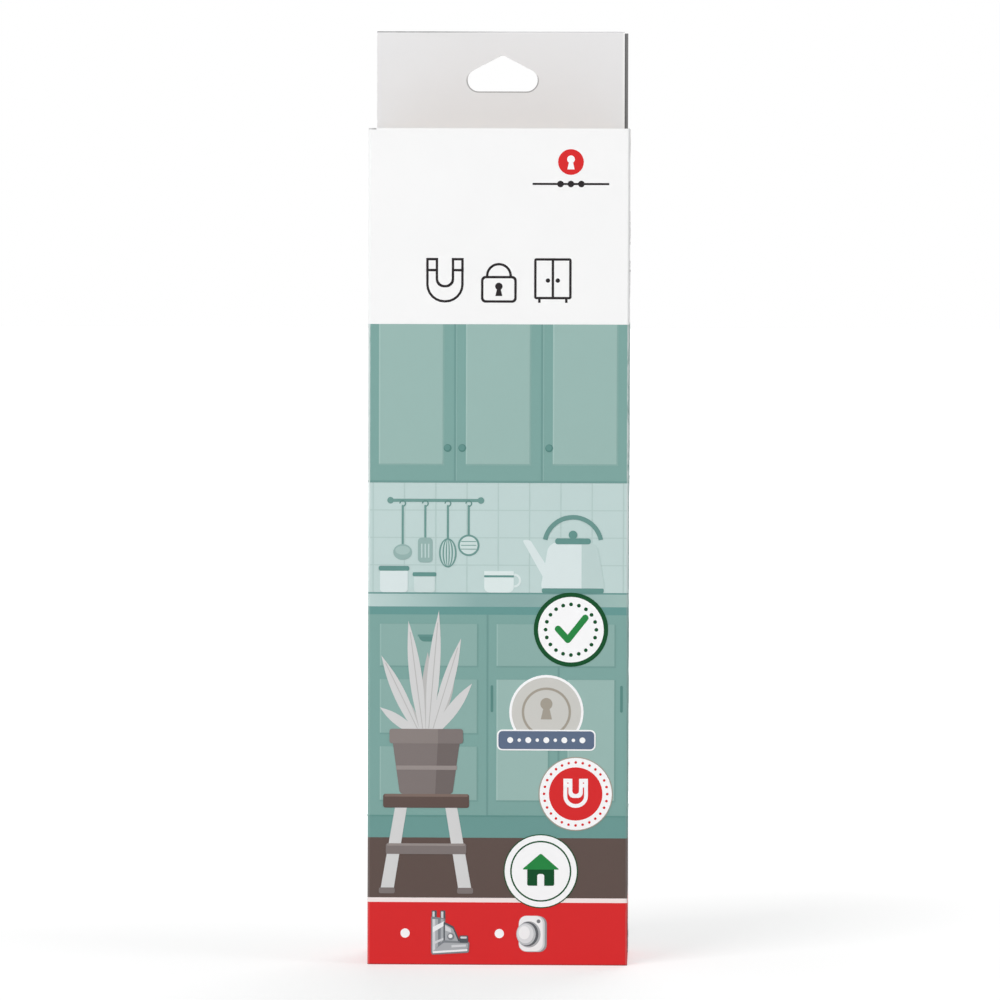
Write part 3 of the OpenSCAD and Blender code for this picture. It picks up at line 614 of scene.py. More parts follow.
class Art:
    """Flat printed shapes on one panel: thin closed prisms, each in its own ink, in millimetres from a home point."""

    def __init__(self):
        self.all = bmesh.new()
        self.all.loops.layers.float_color.new("ink")
        self.scrap = bpy.data.meshes.new("scrap")
        self.count = 0
        self.at()

    def at(self, u=0, v=0):
        """Moves the home point."""
        self.home = (u, v, 0)
        return self

    def put(self, shape, tone, level):
        """Raises a flat shape to its level, inks it and adds it."""
        top = bmesh.ops.extrude_face_region(shape, geom=shape.faces[:])["geom"]
        self.count += 1
        lift = SUNK + (level + 1) * LEVEL + self.count % HAIRS * HAIR
        bmesh.ops.translate(shape, verts=kind_of(bmesh.types.BMVert, top), vec=(0, 0, lift))
        bmesh.ops.translate(shape, verts=shape.verts[:], vec=self.home)
        ink = shape.loops.layers.float_color.new("ink")
        for face in shape.faces:
            for loop in face.loops:
                loop[ink] = (*tuple(tone)[:3], 1)
        shape.to_mesh(self.scrap)
        shape.free()
        self.all.from_mesh(self.scrap)

    def area(self, points, tone, level=0, radius=0.0, at=None):
        self.put(polygon(points, radius, at), tone, level)

    def box(self, left, right, low, high, tone, level=0, radius=0.0, at=None):
        self.area(((left, low), (right, low), (right, high), (left, high)), tone, level, radius, at)

    def bar(self, half, low, high, *look):
        """A box with its middle over the home point."""
        self.box(-half, half, low, high, *look)

    def disc(self, u, v, radius, tone, level=0, squeeze=1.0, turn=0.0):
        shape = bmesh.new()
        place = Matrix.Translation((u, v, 0)) @ Matrix.Rotation(math.radians(turn), 4, "Z")
        place = place @ Matrix.Diagonal((1, squeeze, 1, 1))
        sides = 48 if radius > 4 else 28 if radius > 1.5 else 16
        bmesh.ops.create_circle(shape, cap_ends=True, segments=sides, radius=radius, matrix=place)
        self.put(shape, tone, level)

    def stack(self, level, *rings):
        """Discs on the home point, each a level over the one before."""
        for k, (radius, tone) in enumerate(rings):
            self.disc(0, 0, radius, tone, level + k)

    def row(self, start, pitch, count, *look):
        """Like discs in a row, at a pitch."""
        for k in range(count):
            self.disc(start + pitch * k, *look)

    def dots(self, count, reach, radius, tone, level):
        """A ring of dots round the home point."""
        for k in range(count):
            turn = 2 * math.pi * k / count
            self.disc(reach * math.cos(turn), reach * math.sin(turn), radius, tone, level)

    def bow(self, u, v, radius, width, start, end, tone, level=0):
        """Part of a ring, from one angle to another in degrees."""
        shape = bmesh.new()
        rim = [shape.verts.new((reach, 0, 0)) for reach in (radius - width / 2, radius + width / 2)]
        shape.edges.new(rim)
        bmesh.ops.rotate(shape, verts=rim, cent=(0, 0, 0), matrix=Matrix.Rotation(math.radians(start), 3, "Z"))
        spun = abs(end - start)
        bmesh.ops.spin(
            shape,
            geom=shape.verts[:] + shape.edges[:],
            cent=(0, 0, 0),
            axis=(0, 0, 1),
            angle=math.radians(end - start),
            steps=max(6, round(spun / 8)),
            use_merge=spun >= 360,
        )
        bmesh.ops.translate(shape, verts=shape.verts[:], vec=(u, v, 0))
        self.put(shape, tone, level)

    def line(self, points, width, tone, level=0):
        """A drawn line with round ends and joints."""
        half = width / 2
        for (u, v), (p, q) in zip(points, points[1:]):
            far = math.hypot(p - u, q - v) + half
            shape = polygon(((-half, -half), (far, -half), (far, half), (-half, half)), half * 0.96, None, 4)
            turn = Matrix.Translation((u, v, 0)) @ Matrix.Rotation(math.atan2(q - v, p - u), 4, "Z")
            bmesh.ops.transform(shape, matrix=turn, verts=shape.verts[:])
            self.put(shape, tone, level)

    def blade(self, foot, tip, width, tone, level=0):
        """A long pointed leaf from a foot to a tip."""
        foot, run = complex(*foot), complex(*tip) - complex(*foot)
        side, belly = 0.5j * width * run / abs(run), foot + 0.58 * run
        points = (foot + 0.3 * side, foot - 0.3 * side, belly - side, foot + run, belly + side)
        self.area([(point.real, point.imag) for point in points], tone, level, abs(run) * 0.26, (2, 4))

    def keyhole(self, v, size, tone, level=0):
        foot, neck, low, high = 0.26 * size, 0.1 * size, v - 0.5 * size, v + 0.2 * size
        self.disc(0, v + 0.22 * size, 0.28 * size, tone, level)
        self.area(((-foot, low), (foot, low), (neck, high), (-neck, high)), tone, level)

    def magnet(self, size, line, tone, ground, level=0):
        """A horseshoe magnet in outline."""
        half, slot, high = size * 0.42, size * 0.18, size / 2
        deep, tips = -0.16 * size, 0.2 * size
        for wide, low, top, ink, radius in (
            (half, -high, high, tone, half * 0.97),
            (half - line, line - high, high - line, ground, (half - line) * 0.97),
            (slot + line / 2, deep, high, tone, slot),
            (slot - line / 2, deep + line, high + 0.3, ground, slot * 0.8),
        ):
            self.bar(wide, low, top, ink, level, radius, (0, 1))
            level += 1
        for left, right in ((-half, -slot), (slot, half)):
            self.box(left, right, tips, tips + line, tone, level)

    def padlock(self, size, line, tone, ground, level=0):
        half, low, top = size * 0.4, -size / 2, 0.1 * size
        self.bow(0, top, half * 0.66, line, 0, 180, tone, level)
        for at in (-half * 0.66, half * 0.66):
            self.box(at - line / 2, at + line / 2, top - 0.5, top + 0.2, tone, level)
        self.bar(half, low, top, tone, level + 1, 0.1 * size)
        self.bar(half - line, low + line, top - line, ground, level + 2, 0.06 * size)
        self.keyhole((low + top) / 2, 0.3 * size, tone, level + 3)

    def cupboard(self, size, line, tone, ground, level=0):
        half, low, high = size * 0.42, -0.42 * size, size / 2
        self.bar(half, low, high, tone, level, 0.05 * size)
        self.bar(half - line, low + line, high - line, ground, level + 1)
        self.bar(line / 2, low, high, tone, level + 2)
        for side in (-1, 1):
            self.disc(side * 0.11 * size, 0, 0.05 * size, tone, level + 2)
            at = side * half * 0.72
            self.box(at - line / 2, at + line / 2, -high, low, tone, level)

    def icons(self, size, inks, ground, **places):
        """Line icons by name, each at its place."""
        for name, place in places.items():
            getattr(self.at(*place), name)(size, inks.line_w / MM, inks.dark, ground)
        self.at()

    def piece(self, name, outward, far, body="root", slot="carton_board"):
        """Lays the shapes on the upright face that looks outward, so far from the middle axis."""
        up, outward = Vector((0, 0, 1)), Vector(outward)
        turn = Matrix((up.cross(outward), up, outward)).transposed().to_4x4()
        place = Matrix.Scale(MM, 4) @ Matrix.Translation(outward * far) @ turn @ Matrix.Translation((0, 0, -SUNK))
        bmesh.ops.transform(self.all, matrix=place, verts=self.all.verts[:])
        bpy.data.meshes.remove(self.scrap)
        return new_piece(name, self.all, print_ink(), body)


def tiles(art, fields, half, first):
    """Stacked tiles over the worktop; first is where their first upright joint stands."""
    low, high = fields.splash_foot / MM, fields.wall_foot / MM
    for row in range(1, TILE_ROWS):
        v = low + row * (high - low) / TILE_ROWS
        art.box(-half, half, v - JOINT_HALF, v + JOINT_HALF, fields.joint)
    u = first
    while u < half:
        art.box(u - JOINT_HALF, u + JOINT_HALF, low, high, fields.joint, 1)
        u += TILE


def inset(art, left, right, low, high, face, lit, dim):
    """A panel let into a door: its face, a bright left and top and a dim right and foot."""
    rim = 0.45
    art.box(left, right, low, high, dim)
    art.box(left, right - rim, low + rim, high, lit, 1)
    art.box(left + 0.4, right - rim, low + rim, high, face, 2)


def wall_doors(art, fields, reach, middles, half, seams):
    """Wall cupboards: a panel round each middle, the seams between doors and the foot's dark line."""
    low, high = fields.wall_foot / MM, fields.title_foot / MM
    for middle in middles:
        sides = middle - half, middle + half
        inset(art, *sides, low + 5, high, fields.panel, seen(164, 194, 188), seen(136, 172, 166))
    for seam in seams:
        art.box(seam - SEAM_HALF, seam + SEAM_HALF, low, high, fields.seam, 1)
        art.box(seam + SEAM_HALF, seam + 0.6, low, high, seen(139, 176, 170), 1)
    art.bar(reach, low, low + 0.6, fields.seam, 2)


def worktop_goods(art, fields, inks):
    """A rail of utensils, two jars, a cup and a kettle before the tiles."""
    handle, enamel, splash = fields.handle, inks.enamel, fields.splash
    dark, bowl = seen(111, 152, 146), seen(150, 179, 175)
    art.at(0, fields.splash_foot / MM)
    rail = 26.5

    def hang(u, low):
        art.line(((u, rail - 1.6), (u, low)), 0.6, dark, 3)

    art.line(((-31, rail), (-5, rail)), 0.9, dark, 2)
    art.row(-31, 26, 2, rail, 0.95, dark, 3)
    for u in (-27.5, -21, -14.5, -8.5):
        art.bow(u, rail - 0.9, 0.8, 0.35, -90, 180, seen(98, 140, 134), 3)
    # Ladle
    hang(-27.5, 13.5)
    art.disc(-27.5, 11.6, 2.7, bowl, 4, 0.85)
    art.disc(-27.5, 12.1, 2.1, seen(168, 194, 190), 5, 0.6)
    # Slotted turner
    hang(-21, 15.5)
    art.box(-23.1, -18.9, 8.6, 15.8, bowl, 4, 1.1)
    for u in (-22, -21, -20):
        art.box(u - 0.17, u + 0.17, 10, 14, splash, 5)
    # Whisk
    hang(-14.5, 15)
    for k, wide in enumerate((0.6, 0.36, 0.14)):
        art.disc(-14.5, 11.4, 4.2, dark, 4 + 2 * k, wide, 90)
        art.disc(-14.5, 11.4, 3.9, splash, 5 + 2 * k, wide - 0.08, 90)
    # Strainer
    hang(-8.5, 16.5)
    art.disc(-8.5, 13.6, 3.1, dark, 4)
    art.disc(-8.5, 13.6, 2.55, seen(206, 222, 220), 5)
    for v in (12.5, 13.6, 14.7):
        art.line(((-10.6, v), (-6.4, v)), 0.22, dark, 6)
    # Jars
    art.box(-34, -26, 0, 7, enamel, 6, 1)
    art.box(-34.4, -25.6, 6.2, 7.6, handle, 7, 0.5)
    art.box(-24.2, -18.2, 0, 5.2, seen(206, 221, 220), 6, 0.9)
    art.box(-24.6, -17.8, 4.6, 5.8, handle, 7, 0.4)
    # Kettle
    art.area(((13.2, 4), (14.8, 6.5), (9.2, 15.2), (6.9, 15.2)), enamel, 2, 0.7)
    art.area(((12, 0), (31, 0), (28.4, 14.6), (14.6, 14.6)), enamel, 3, 2.6)
    art.area(((24, 0), (31, 0), (28.4, 14.6), (24, 14.6)), seen(190, 210, 208), 4, 2.5, (1, 2))
    art.box(12.6, 30.4, 0, 1.3, handle, 5, 0.4)
    art.box(16.4, 26.6, 14, 15.7, handle, 5, 0.7)
    art.disc(21.5, 16.7, 1.25, handle, 5)
    art.bow(21.5, 13.6, 8.2, 1.3, 12, 168, seen(106, 148, 142), 6)
    # Cup
    cup = seen(222, 234, 233)
    art.box(-4, 4.5, 0, 6.2, cup, 3, 1.6, (0, 1))
    art.bow(4.6, 3.5, 1.7, 0.6, -90, 90, cup, 3)
    art.box(-4, 4.5, 4.4, 5, handle, 4)
    art.at()


def cupboards(art, fields, reach, seams, fronts, doors):
    """Drawer fronts with cup handles, and doors with bars, under the worktop."""
    foot, top = fields.plinth_top / MM, fields.shade_foot / MM
    lit, dim, bar = seen(163, 193, 187), seen(118, 158, 152), seen(92, 138, 132)
    for seam in seams:
        art.box(seam - SEAM_HALF, seam + SEAM_HALF, foot, top, fields.seam)
    for left, right, low, high in fronts:
        inset(art, left, right, low, high, fields.drawer, seen(153, 186, 180), dim)
        middle, up = (left + right) / 2, high - 3.2
        art.box(middle - 3, middle + 3, up - 1.9, up, bar, 3, 1.7, (0, 1))
        art.box(middle - 3.3, middle + 3.3, up - 0.45, up + 0.15, fields.handle, 4)
    for left, right, grip in doors:
        low, high = DOOR
        inset(art, left, right, low, high, fields.panel, lit, dim)
        art.line(((grip, high - 9), (grip, high - 2)), 0.75, bar, 3)
    art.bar(reach, foot - 0.3, foot + 0.1, seen(100, 147, 141), 3)


def stool_and_plant(art, inks, u, foot):
    """A step stool that carries a potted plant with long leaves."""
    pale, mid, taupe = inks.pale, inks.mid, inks.taupe
    art.at(u, foot)
    for a, b, c, d in ((-8.8, -5.4, -9.4, -13.2), (5.4, 8.8, 13.2, 9.4)):
        art.area(((a, 25), (b, 25), (c, 0), (d, 0)), pale, 4)
    for left in (-13.6, 9):
        art.box(left, left + 4.6, -0.8, 0.9, taupe, 5, 0.5)
    art.bar(11.6, 10.6, 13.6, taupe, 5, 0.5)
    art.bar(11.2, 13, 13.7, seen(150, 141, 138), 6)
    art.bar(12.4, 24, 28, inks.brown, 5, 0.7)
    art.bar(12, 27.2, 28, seen(126, 108, 100), 6)
    # Plant, from the pot's foot
    art.at(u, foot + 28)
    tall = (-13, 40), (-5.2, 50), (3.6, 53), (10, 45)
    for (p, q), width in zip(((-9, 31), (8.2, 34), (0.4, 41)), (4.4, 4.2, 4.2)):
        art.blade((p * 0.16, 17), (p, q), width, mid, 4)
    for (p, q), width in zip((*tall, (13.2, 32), (-13.4, 25)), (4.6, 4.8, 4.6, 4.6, 4.2, 3.8)):
        art.blade((p * 0.16, 17), (p, q), width, pale, 5)
    for p, q in tall:
        art.line(((p * 0.2, 19), (p * 0.9, 17 + (q - 17) * 0.9)), 0.25, mid, 6)
    art.area(((-7.6, 0), (7.6, 0), (9.8, 16), (-9.8, 16)), taupe, 6, 1)
    art.area(((2.6, 0), (7.6, 0), (9.8, 16), (3.4, 16)), seen(112, 103, 101), 7, 0.9, (1,))
    art.bar(10.6, 14.6, 18.8, seen(139, 130, 127), 8, 0.7)
    art.box(3.4, 10.6, 14.6, 18.8, taupe, 9, 0.7, (1, 2))
    art.box(-8.6, 8.9, 7, 8.2, seen(152, 143, 140), 8)


def badges(art, fields, inks):
    """Four round badges in two staggered columns, over the kitchen."""
    reach, white, green, red = inks.badge_r / MM, inks.badge, inks.green, fields.red
    beige, stone = inks.beige, inks.stone
    # Tick
    art.at(21, 97).stack(6, (reach, green), (reach - 1.25, white))
    art.dots(20, 7.3, 0.55, green, 8)
    art.line(((-3.7, 0.2), (-0.9, -2.9), (4.1, 3.4)), 1.9, inks.leaf, 8)
    # Keyhole over a banner
    art.at(14, 73.2).stack(6, (reach, white), (reach - 0.7, beige), (7.1, stone), (6.4, beige))
    art.keyhole(1, 6.2, stone, 10)
    art.bar(14.2, -11.1, -5.1, white, 11, 1.5)
    art.bar(13.8, -10.7, -5.5, inks.slate, 12, 1.2)
    for k in range(-4, 5):
        art.disc(2.6 * k, -8.1, 0.5 if k % 2 else 0.85, white, 13)
    # Magnet
    art.at(22.5, 49.6).stack(6, (reach, stone), (reach - 0.3, white), (7.7, red))
    art.at(22.5, 49.8).magnet(8.4, 1.1, white, red, 9)
    art.at(22.5, 49.6).dots(28, 9.1, 0.38, red, 8)
    # House
    art.at(12.5, 27.2).stack(6, (reach, green), (reach - 0.3, white))
    art.bow(0, 0, 8.6, 0.45, 0, 360, green, 8)
    art.bar(3.9, -4.2, 0.8, green, 8, 0.5)
    art.area(((-5.4, 0.5), (5.4, 0.5), (0, 5.2)), inks.leaf, 9, 0.5)
    art.bar(1, -4.2, -0.8, white, 9, 0.6, (2, 3))


def lock_picture(art, u, v=RED_ROW):
    """The lock in silver greys: an upright, a foot and two prongs."""
    glint, light, mid = seen(240, 242, 244), seen(212, 215, 218), seen(172, 176, 180)
    deep, dim = seen(128, 133, 138), seen(84, 89, 94)
    art.at(u, v)
    for prong in (-4.6, -2.1):
        art.box(prong - 0.75, prong + 0.75, 3.6, 6.6, dim, 0, 0.3, (2, 3))
        art.box(prong - 0.5, prong + 0.15, 3.8, 6.3, light, 1, 0.2, (2, 3))
    # Upright with the bands of a polished face
    art.area(((-5.5, -6), (-1.4, -6), (-1.4, 4.3), (-5.5, 4.9)), deep, 2, 0.5)
    for left, tone in ((-5.1, light), (-4.3, mid), (-2.7, mid)):
        art.box(left, left + 0.8, -5.5, 4.1, tone, 3)
    art.area(((-5, 0.2), (-1.7, 2.2), (-1.7, 3.5), (-5, 1.8)), glint, 4)
    art.area(((-5, -3.4), (-1.7, -1.8), (-1.7, -1.2), (-5, -2.6)), light, 4)
    # Cheek that slopes down to the foot
    art.area(((-1.9, -2.6), (3, -2.6), (1, 2), (-1.9, 3.4)), dim, 5, 0.4)
    art.area(((-1.5, -2.4), (2.4, -2.4), (0.8, 1.4), (-1.5, 2.7)), mid, 6, 0.4)
    art.area(((-1.4, 0.8), (0.4, 0.2), (0.1, 1.4), (-1.4, 2.3)), light, 7)
    art.disc(0.2, -0.9, 1.05, deep, 8)
    art.disc(0.1, -0.8, 0.6, glint, 9)
    # Foot, and the hook's barb over its end
    art.area(((-5.5, -6.2), (5.4, -5.6), (5.6, -2.4), (-2, -2)), deep, 6, 0.5)
    art.area(((-5, -5.2), (5.1, -4.4), (5.2, -2.9), (-1.8, -2.7)), mid, 7, 0.3)
    art.area(((-5, -5.8), (5, -5.1), (5, -4.5), (-5, -5.2)), glint, 8)
    art.area(((0.4, -4.1), (4.6, -3.8), (4.6, -3.2), (0.4, -3.4)), light, 8)
    art.box(2.7, 5.2, -2.7, -0.6, dim, 9, 0.4)
    art.box(3, 4.8, -1.5, -0.9, light, 10, 0.2)
    art.at()


def key_picture(art, u, v=RED_ROW):
    """The key in a few whites: a plate, a dark ring and a round knob."""
    white = seen(243, 243, 244)
    art.at(u, v)
    art.box(-3.4, 4.3, -5.3, 5.1, seen(150, 151, 154), 1, 2.2)
    art.box(-3.8, 3.7, -5.2, 5.2, seen(214, 215, 217), 2, 2.2)
    art.box(-3.7, 3.1, -5, 5.1, white, 3, 2.1)
    for across, up, radius, tone, level, squeeze in (
        (1.9, 3.6, 0.55, seen(120, 121, 124), 4, 1),
        (-0.9, -0.2, 3.4, seen(176, 178, 181), 4, 1.12),
        (-1.2, -0.1, 3.1, seen(96, 98, 102), 5, 1.14),
        (-1.7, -0.1, 2.8, seen(190, 192, 195), 6, 1.16),
        (-1.9, 0, 2.4, seen(222, 223, 225), 7, 1.16),
        (-2.2, 0.3, 1.6, white, 8, 1.2),
    ):
        art.disc(across, up, radius, tone, level, squeeze)
    art.at()


def side_print(fields, inks, side, far):
    """One side panel: a wall door, tiles, a drawer and a door, icons, and the lock or the key at the foot."""
    art = Art()
    wall_doors(art, fields, SIDE_REACH, (0,), 12.5, ())
    art.disc(15.8, fields.wall_foot / MM + 10, 1.15, fields.handle, 2)
    tiles(art, fields, SIDE_REACH, -13.5)
    cupboards(art, fields, SIDE_REACH, (), ((-15, 15, *DRAWER),), ((-15, 15, 17),))
    art.icons(11, inks, fields.white, padlock=(0, 213), magnet=(0, ICON_ROW))
    if side > 0:
        lock_picture(art, -7)
    else:
        key_picture(art, -6)
    art.row(5, 4, 3, RED_ROW, 0.9, inks.badge)
    art.piece("right_print" if side > 0 else "left_print", (side, 0, 0), far)


def fitting_pictures(art, inks, red):
    """Four framed line pictures of fitting and opening the lock."""
    white, dark = inks.badge, inks.dark
    for k, (u, v) in enumerate(((-17.2, 164), (17.2, 164), (-17.2, 121), (17.2, 121))):
        art.at(u, v).bar(15.5, -18.5, 18.5, white, 0, 2)
        art.row(-12.4, 2.4, k + 1, 15.2, 0.8, red, 1)
    art.at(-17.2, 163).cupboard(22, inks.line_w / MM, dark, white, 1)
    art.at().disc(-14, 170.4, 2, red, 4)
    # The lock goes on to the door's inside
    art.box(6.4, 7.4, 149, 176, dark, 1)
    lock_picture(art, 14.2, 162)
    art.area(((21.4, 162), (25.4, 159.6), (25.4, 164.4)), red, 1)
    art.line(((25.4, 162), (29.4, 162)), 1.1, red, 1)
    # The key on the door's outside draws the hook
    art.box(-23.6, -22.6, 105, 134, dark, 1)
    hook = (-28.4, 116), (-24, 116), (-24, 126), (-25.6, 126), (-25.6, 118.4), (-28.4, 118.4)
    art.area(hook, seen(150, 154, 158), 1, 0.3)
    key_picture(art, -9.4, 119.6)
    for reach in (5.4, 7.2, 9):
        art.bow(-11.6, 119.6, reach, 0.6, 155, 205, red, 1)
    # The door opens
    art.box(11, 28.6, 107.5, 131.5, dark, 1)
    art.box(11.8, 27.8, 108.3, 130.7, white, 2)
    art.box(11.8, 27.8, 119.2, 119.9, dark, 3)
    art.area(((11.4, 107.5), (11.4, 131.5), (5, 127.7), (5, 103.7)), dark, 4)
    art.area(((10.6, 108.4), (10.6, 130), (5.8, 127.2), (5.8, 105.5)), white, 5)
    art.disc(7.2, 116.8, 0.7, dark, 6)
    art.area(((14.2, 113.8), (18, 111.5), (18, 116.1)), red, 4)
    art.line(((18, 113.8), (24, 113.8)), 1.1, red, 4)


def stock_label(art, inks, left, right, low, high):
    """A white label with plain stripes of four widths."""
    art.box(left, right, low, high, inks.badge, 0, 0.8)
    at, k = left + 2, 0
    while at < right - 2.2:
        wide = 0.22 * (1 + (k * k + k // 3) % 4)
        art.box(at, min(at + wide, right - 2), low + 2.4, high - 1.4, inks.dark, 1)
        at += wide + 0.24 * (1 + k % 3)
        k += 1


def back_print(fields, inks, far):
    """The back panel: pictures, bars for lines of text, a label and three ringed icons."""
    art, white = Art(), inks.badge
    fitting_pictures(art, inks, fields.red)
    art.icons(15, inks, fields.white, magnet=(-22, 213), padlock=(0, 213), cupboard=(22, 213))
    for k in range(5):
        v = 94 - 7.4 * k
        art.disc(-29, v, 1.5, white)
        art.box(-25, 28 - (k % 3) * 6, v - 0.7, v + 0.7, fields.panel, 0, 0.6)
        art.box(-25, 18 - (k % 2) * 7, v - 3.6, v - 2.2, fields.panel, 0, 0.6)
    stock_label(art, inks, 9, 30, 45.6, 57.6)
    for u in (-26.4, -14.4, -2.4):
        art.bow(u, 51.6, 4.8, 0.5, 0, 360, white)
    art.line(((-28.4, 51.8), (-27, 49.9), (-24.2, 53.3)), 0.8, white)
    art.at(-14.4, 51.6).keyhole(0, 5, white)
    art.at(-2.4, 51.6).magnet(5, 0.6, white, fields.teal)
    art.at().row(-27, 9, 7, RED_ROW, 1.2, white)
    art.piece("back_print", (0, 1, 0), far)


def front_print(fields, inks, far):
    """The front panel: the kitchen, the badges, the icons and emblem over it, and both goods in the red field."""
    art = Art()
    wall_doors(art, fields, FRONT_REACH, (-25, 0, 25), 9.4, (-12.5, 12.5))
    knobs = fields.wall_foot / MM + 10
    for u in (-14.6, -10.4, 14.6):
        art.disc(u, knobs, 1.15, seen(88, 133, 127), 2)
        art.disc(u - 0.15, knobs + 0.15, 0.85, fields.handle, 3)
    tiles(art, fields, FRONT_REACH, -36)
    worktop_goods(art, fields, inks)
    left = (-34, -5.6)
    fronts = (*left, *DRAWER), (*left, 66.6, 82.5), (*left, 47.2, 63.1), (-0.4, 34, *DRAWER)
    cupboards(art, fields, FRONT_REACH, (-3, 17.5), fronts, ((-0.4, 14.9, -1.7), (20.1, 34, 35.6)))
    stool_and_plant(art, inks, -20.6, 21.4)
    badges(art, fields, inks)
    places = {"magnet": (-15.5, ICON_ROW), "padlock": (0, ICON_ROW), "cupboard": (15.5, ICON_ROW)}
    art.icons(12.8, inks, fields.white, **places)
    # Emblem: a keyhole over a line with three dots
    art.at(20.6, 231.4).disc(0, 0, 3.7, fields.red)
    art.keyhole(-0.1, 4, inks.badge, 1)
    art.bar(11, -6.6, -6, inks.dark)
    art.row(-3, 3, 3, -6.3, 0.95, inks.dark, 1)
    art.at().row(-26.6, 27.2, 2, RED_ROW, 1.35, inks.badge)
    lock_picture(art, -13.6)
    key_picture(art, 10)
    art.piece("front_print", (0, -1, 0), far)


def folded_sheets(low, high, sheet):
    """Nested sheets that are folded once, at the left of their box."""
    shape = bmesh.new()
    middle, half = (low.y + high.y) / 2, (high.y - low.y) / 2
    fold, pitch = low.x + half, 1.6 * sheet
    for k in range(SHEETS):
        narrower, shorter = k * 0.5 * MM, k * 0.15 * MM
        front = middle - half + sheet + k * pitch
        rim = [shape.verts.new((fold, front, z)) for z in (high.z - shorter, low.z + shorter)]
        ends = [shape.edges.new(rim)]
        about = {"cent": (fold, middle, 0), "axis": (0, 0, -1), "angle": math.pi, "steps": 10}
        ends += kind_of(bmesh.types.BMEdge, bmesh.ops.spin(shape, geom=rim + ends, **about)["geom_last"])
        points = kind_of(bmesh.types.BMVert, bmesh.ops.extrude_edge_only(shape, edges=ends)["geom"])
        bmesh.ops.translate(shape, verts=points, vec=(high.x - narrower - fold, 0, 0))
    bmesh.ops.solidify(shape, geom=shape.faces[:], thickness=sheet)
    return shape


class CARTON_OT_board(bpy.types.Operator):
    """Finish the carton: printed sleeve, header and raw flaps."""

    bl_idname = "lock_carton.board"
    bl_label = "Carton board"

    def execute(self, context):
        fields, goods = context.scene.carton_fields, context.scene.carton_goods
        dress("carton_sleeve", carton_board(fields, goods))
        dress("header_ply", header_board(fields))
        dress("seam_flap bottom_flap dust_flap_left dust_flap_right", raw_board(goods))
        return {"FINISHED"}


class CARTON_OT_front(bpy.types.Operator):
    """Print the front panel."""

    bl_idname = "lock_carton.front"
    bl_label = "Front print"

    def execute(self, context):
        scene = context.scene
        front_print(scene.carton_fields, scene.carton_inks, -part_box("carton_sleeve")[0].y / MM)
        return {"FINISHED"}


class CARTON_OT_sides(bpy.types.Operator):
    """Print the two side panels and the back panel."""

    bl_idname = "lock_carton.sides"
    bl_label = "Side and back print"

    def execute(self, context):
        fields, inks = context.scene.carton_fields, context.scene.carton_inks
        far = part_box("carton_sleeve")[1] / MM
        for side in (1, -1):
            side_print(fields, inks, side, far.x)
        back_print(fields, inks, far.y)
        return {"FINISHED"}


class CARTON_OT_tray(bpy.types.Operator):
    """Finish the stacked board that holds the goods."""

    bl_idname = "lock_carton.tray"
    bl_label = "Stacked board"

    def execute(self, context):
        dress("insert_face insert_middle insert_rear insert_back", stacked_board(context.scene.carton_goods))
        return {"FINISHED"}


class CARTON_OT_leaflet(bpy.types.Operator):
    """Fold the leaflet's sheets and print them."""

    bl_idname = "lock_carton.leaflet"
    bl_label = "Folded leaflet"

    def execute(self, context):
        scene = context.scene
        goods, inks, fields = scene.carton_goods, scene.carton_inks, scene.carton_fields
        low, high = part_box("leaflet")
        shape = folded_sheets(low, high, goods.sheet)
        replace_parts(new_piece("leaflet_sheets", shape, leaflet_paper(goods), "tray"), "leaflet")
        art = Art()
        art.bar(27, 58.6, 61.6, fields.teal)
        for k, u in enumerate((-18.4, 0, 18.4)):
            art.box(u - 8, u + 8, 33, 54.5, fields.joint, 0, 1)
            art.row(u - 6, 2, k + 1, 52.3, 0.6, fields.red, 1)
        for name, u, size in (("cupboard", -18.4, 13), ("padlock", 0, 12), ("magnet", 18.4, 11)):
            getattr(art.at(u, 42.4), name)(size, 0.4, inks.dark, fields.joint, 1)
        art.at()
        for k in range(4):
            art.box(-26, 24 - (k % 2) * 12, 28.4 - 3 * k, 29.2 - 3 * k, inks.mid)
        art.piece("leaflet_print", (0, -1, 0), -low.y / MM, "tray", "leaflet_paper")
        return {"FINISHED"}


class CARTON_OT_key(bpy.types.Operator):
    """Finish the magnet key."""

    bl_idname = "lock_carton.key"
    bl_label = "Magnet key"

    def execute(self, context):
        goods = context.scene.carton_goods
        white = moulded("key_plastic", goods.key, 0.32, coat=0.25)
        dress("key_shell", white, goods.edge * 1.4)
        dress("key_back_cover knob_cup", white, goods.edge)
        dress("knob_ring", rubber(goods), goods.edge)
        dress("felt_pad", felt(goods))
        dress("key_magnet", metal("magnet_nickel", seen(205, 203, 196), 0.16, (1, 1, 1), 0.05))
        dress("flux_plate", metal("flux_steel", seen(150, 152, 155), 0.34, (1, 1, 6)))
        dress("key_cover_screws hood_screws", metal("screw_steel", seen(190, 190, 188), 0.26, (1, 4, 1)))
        return {"FINISHED"}


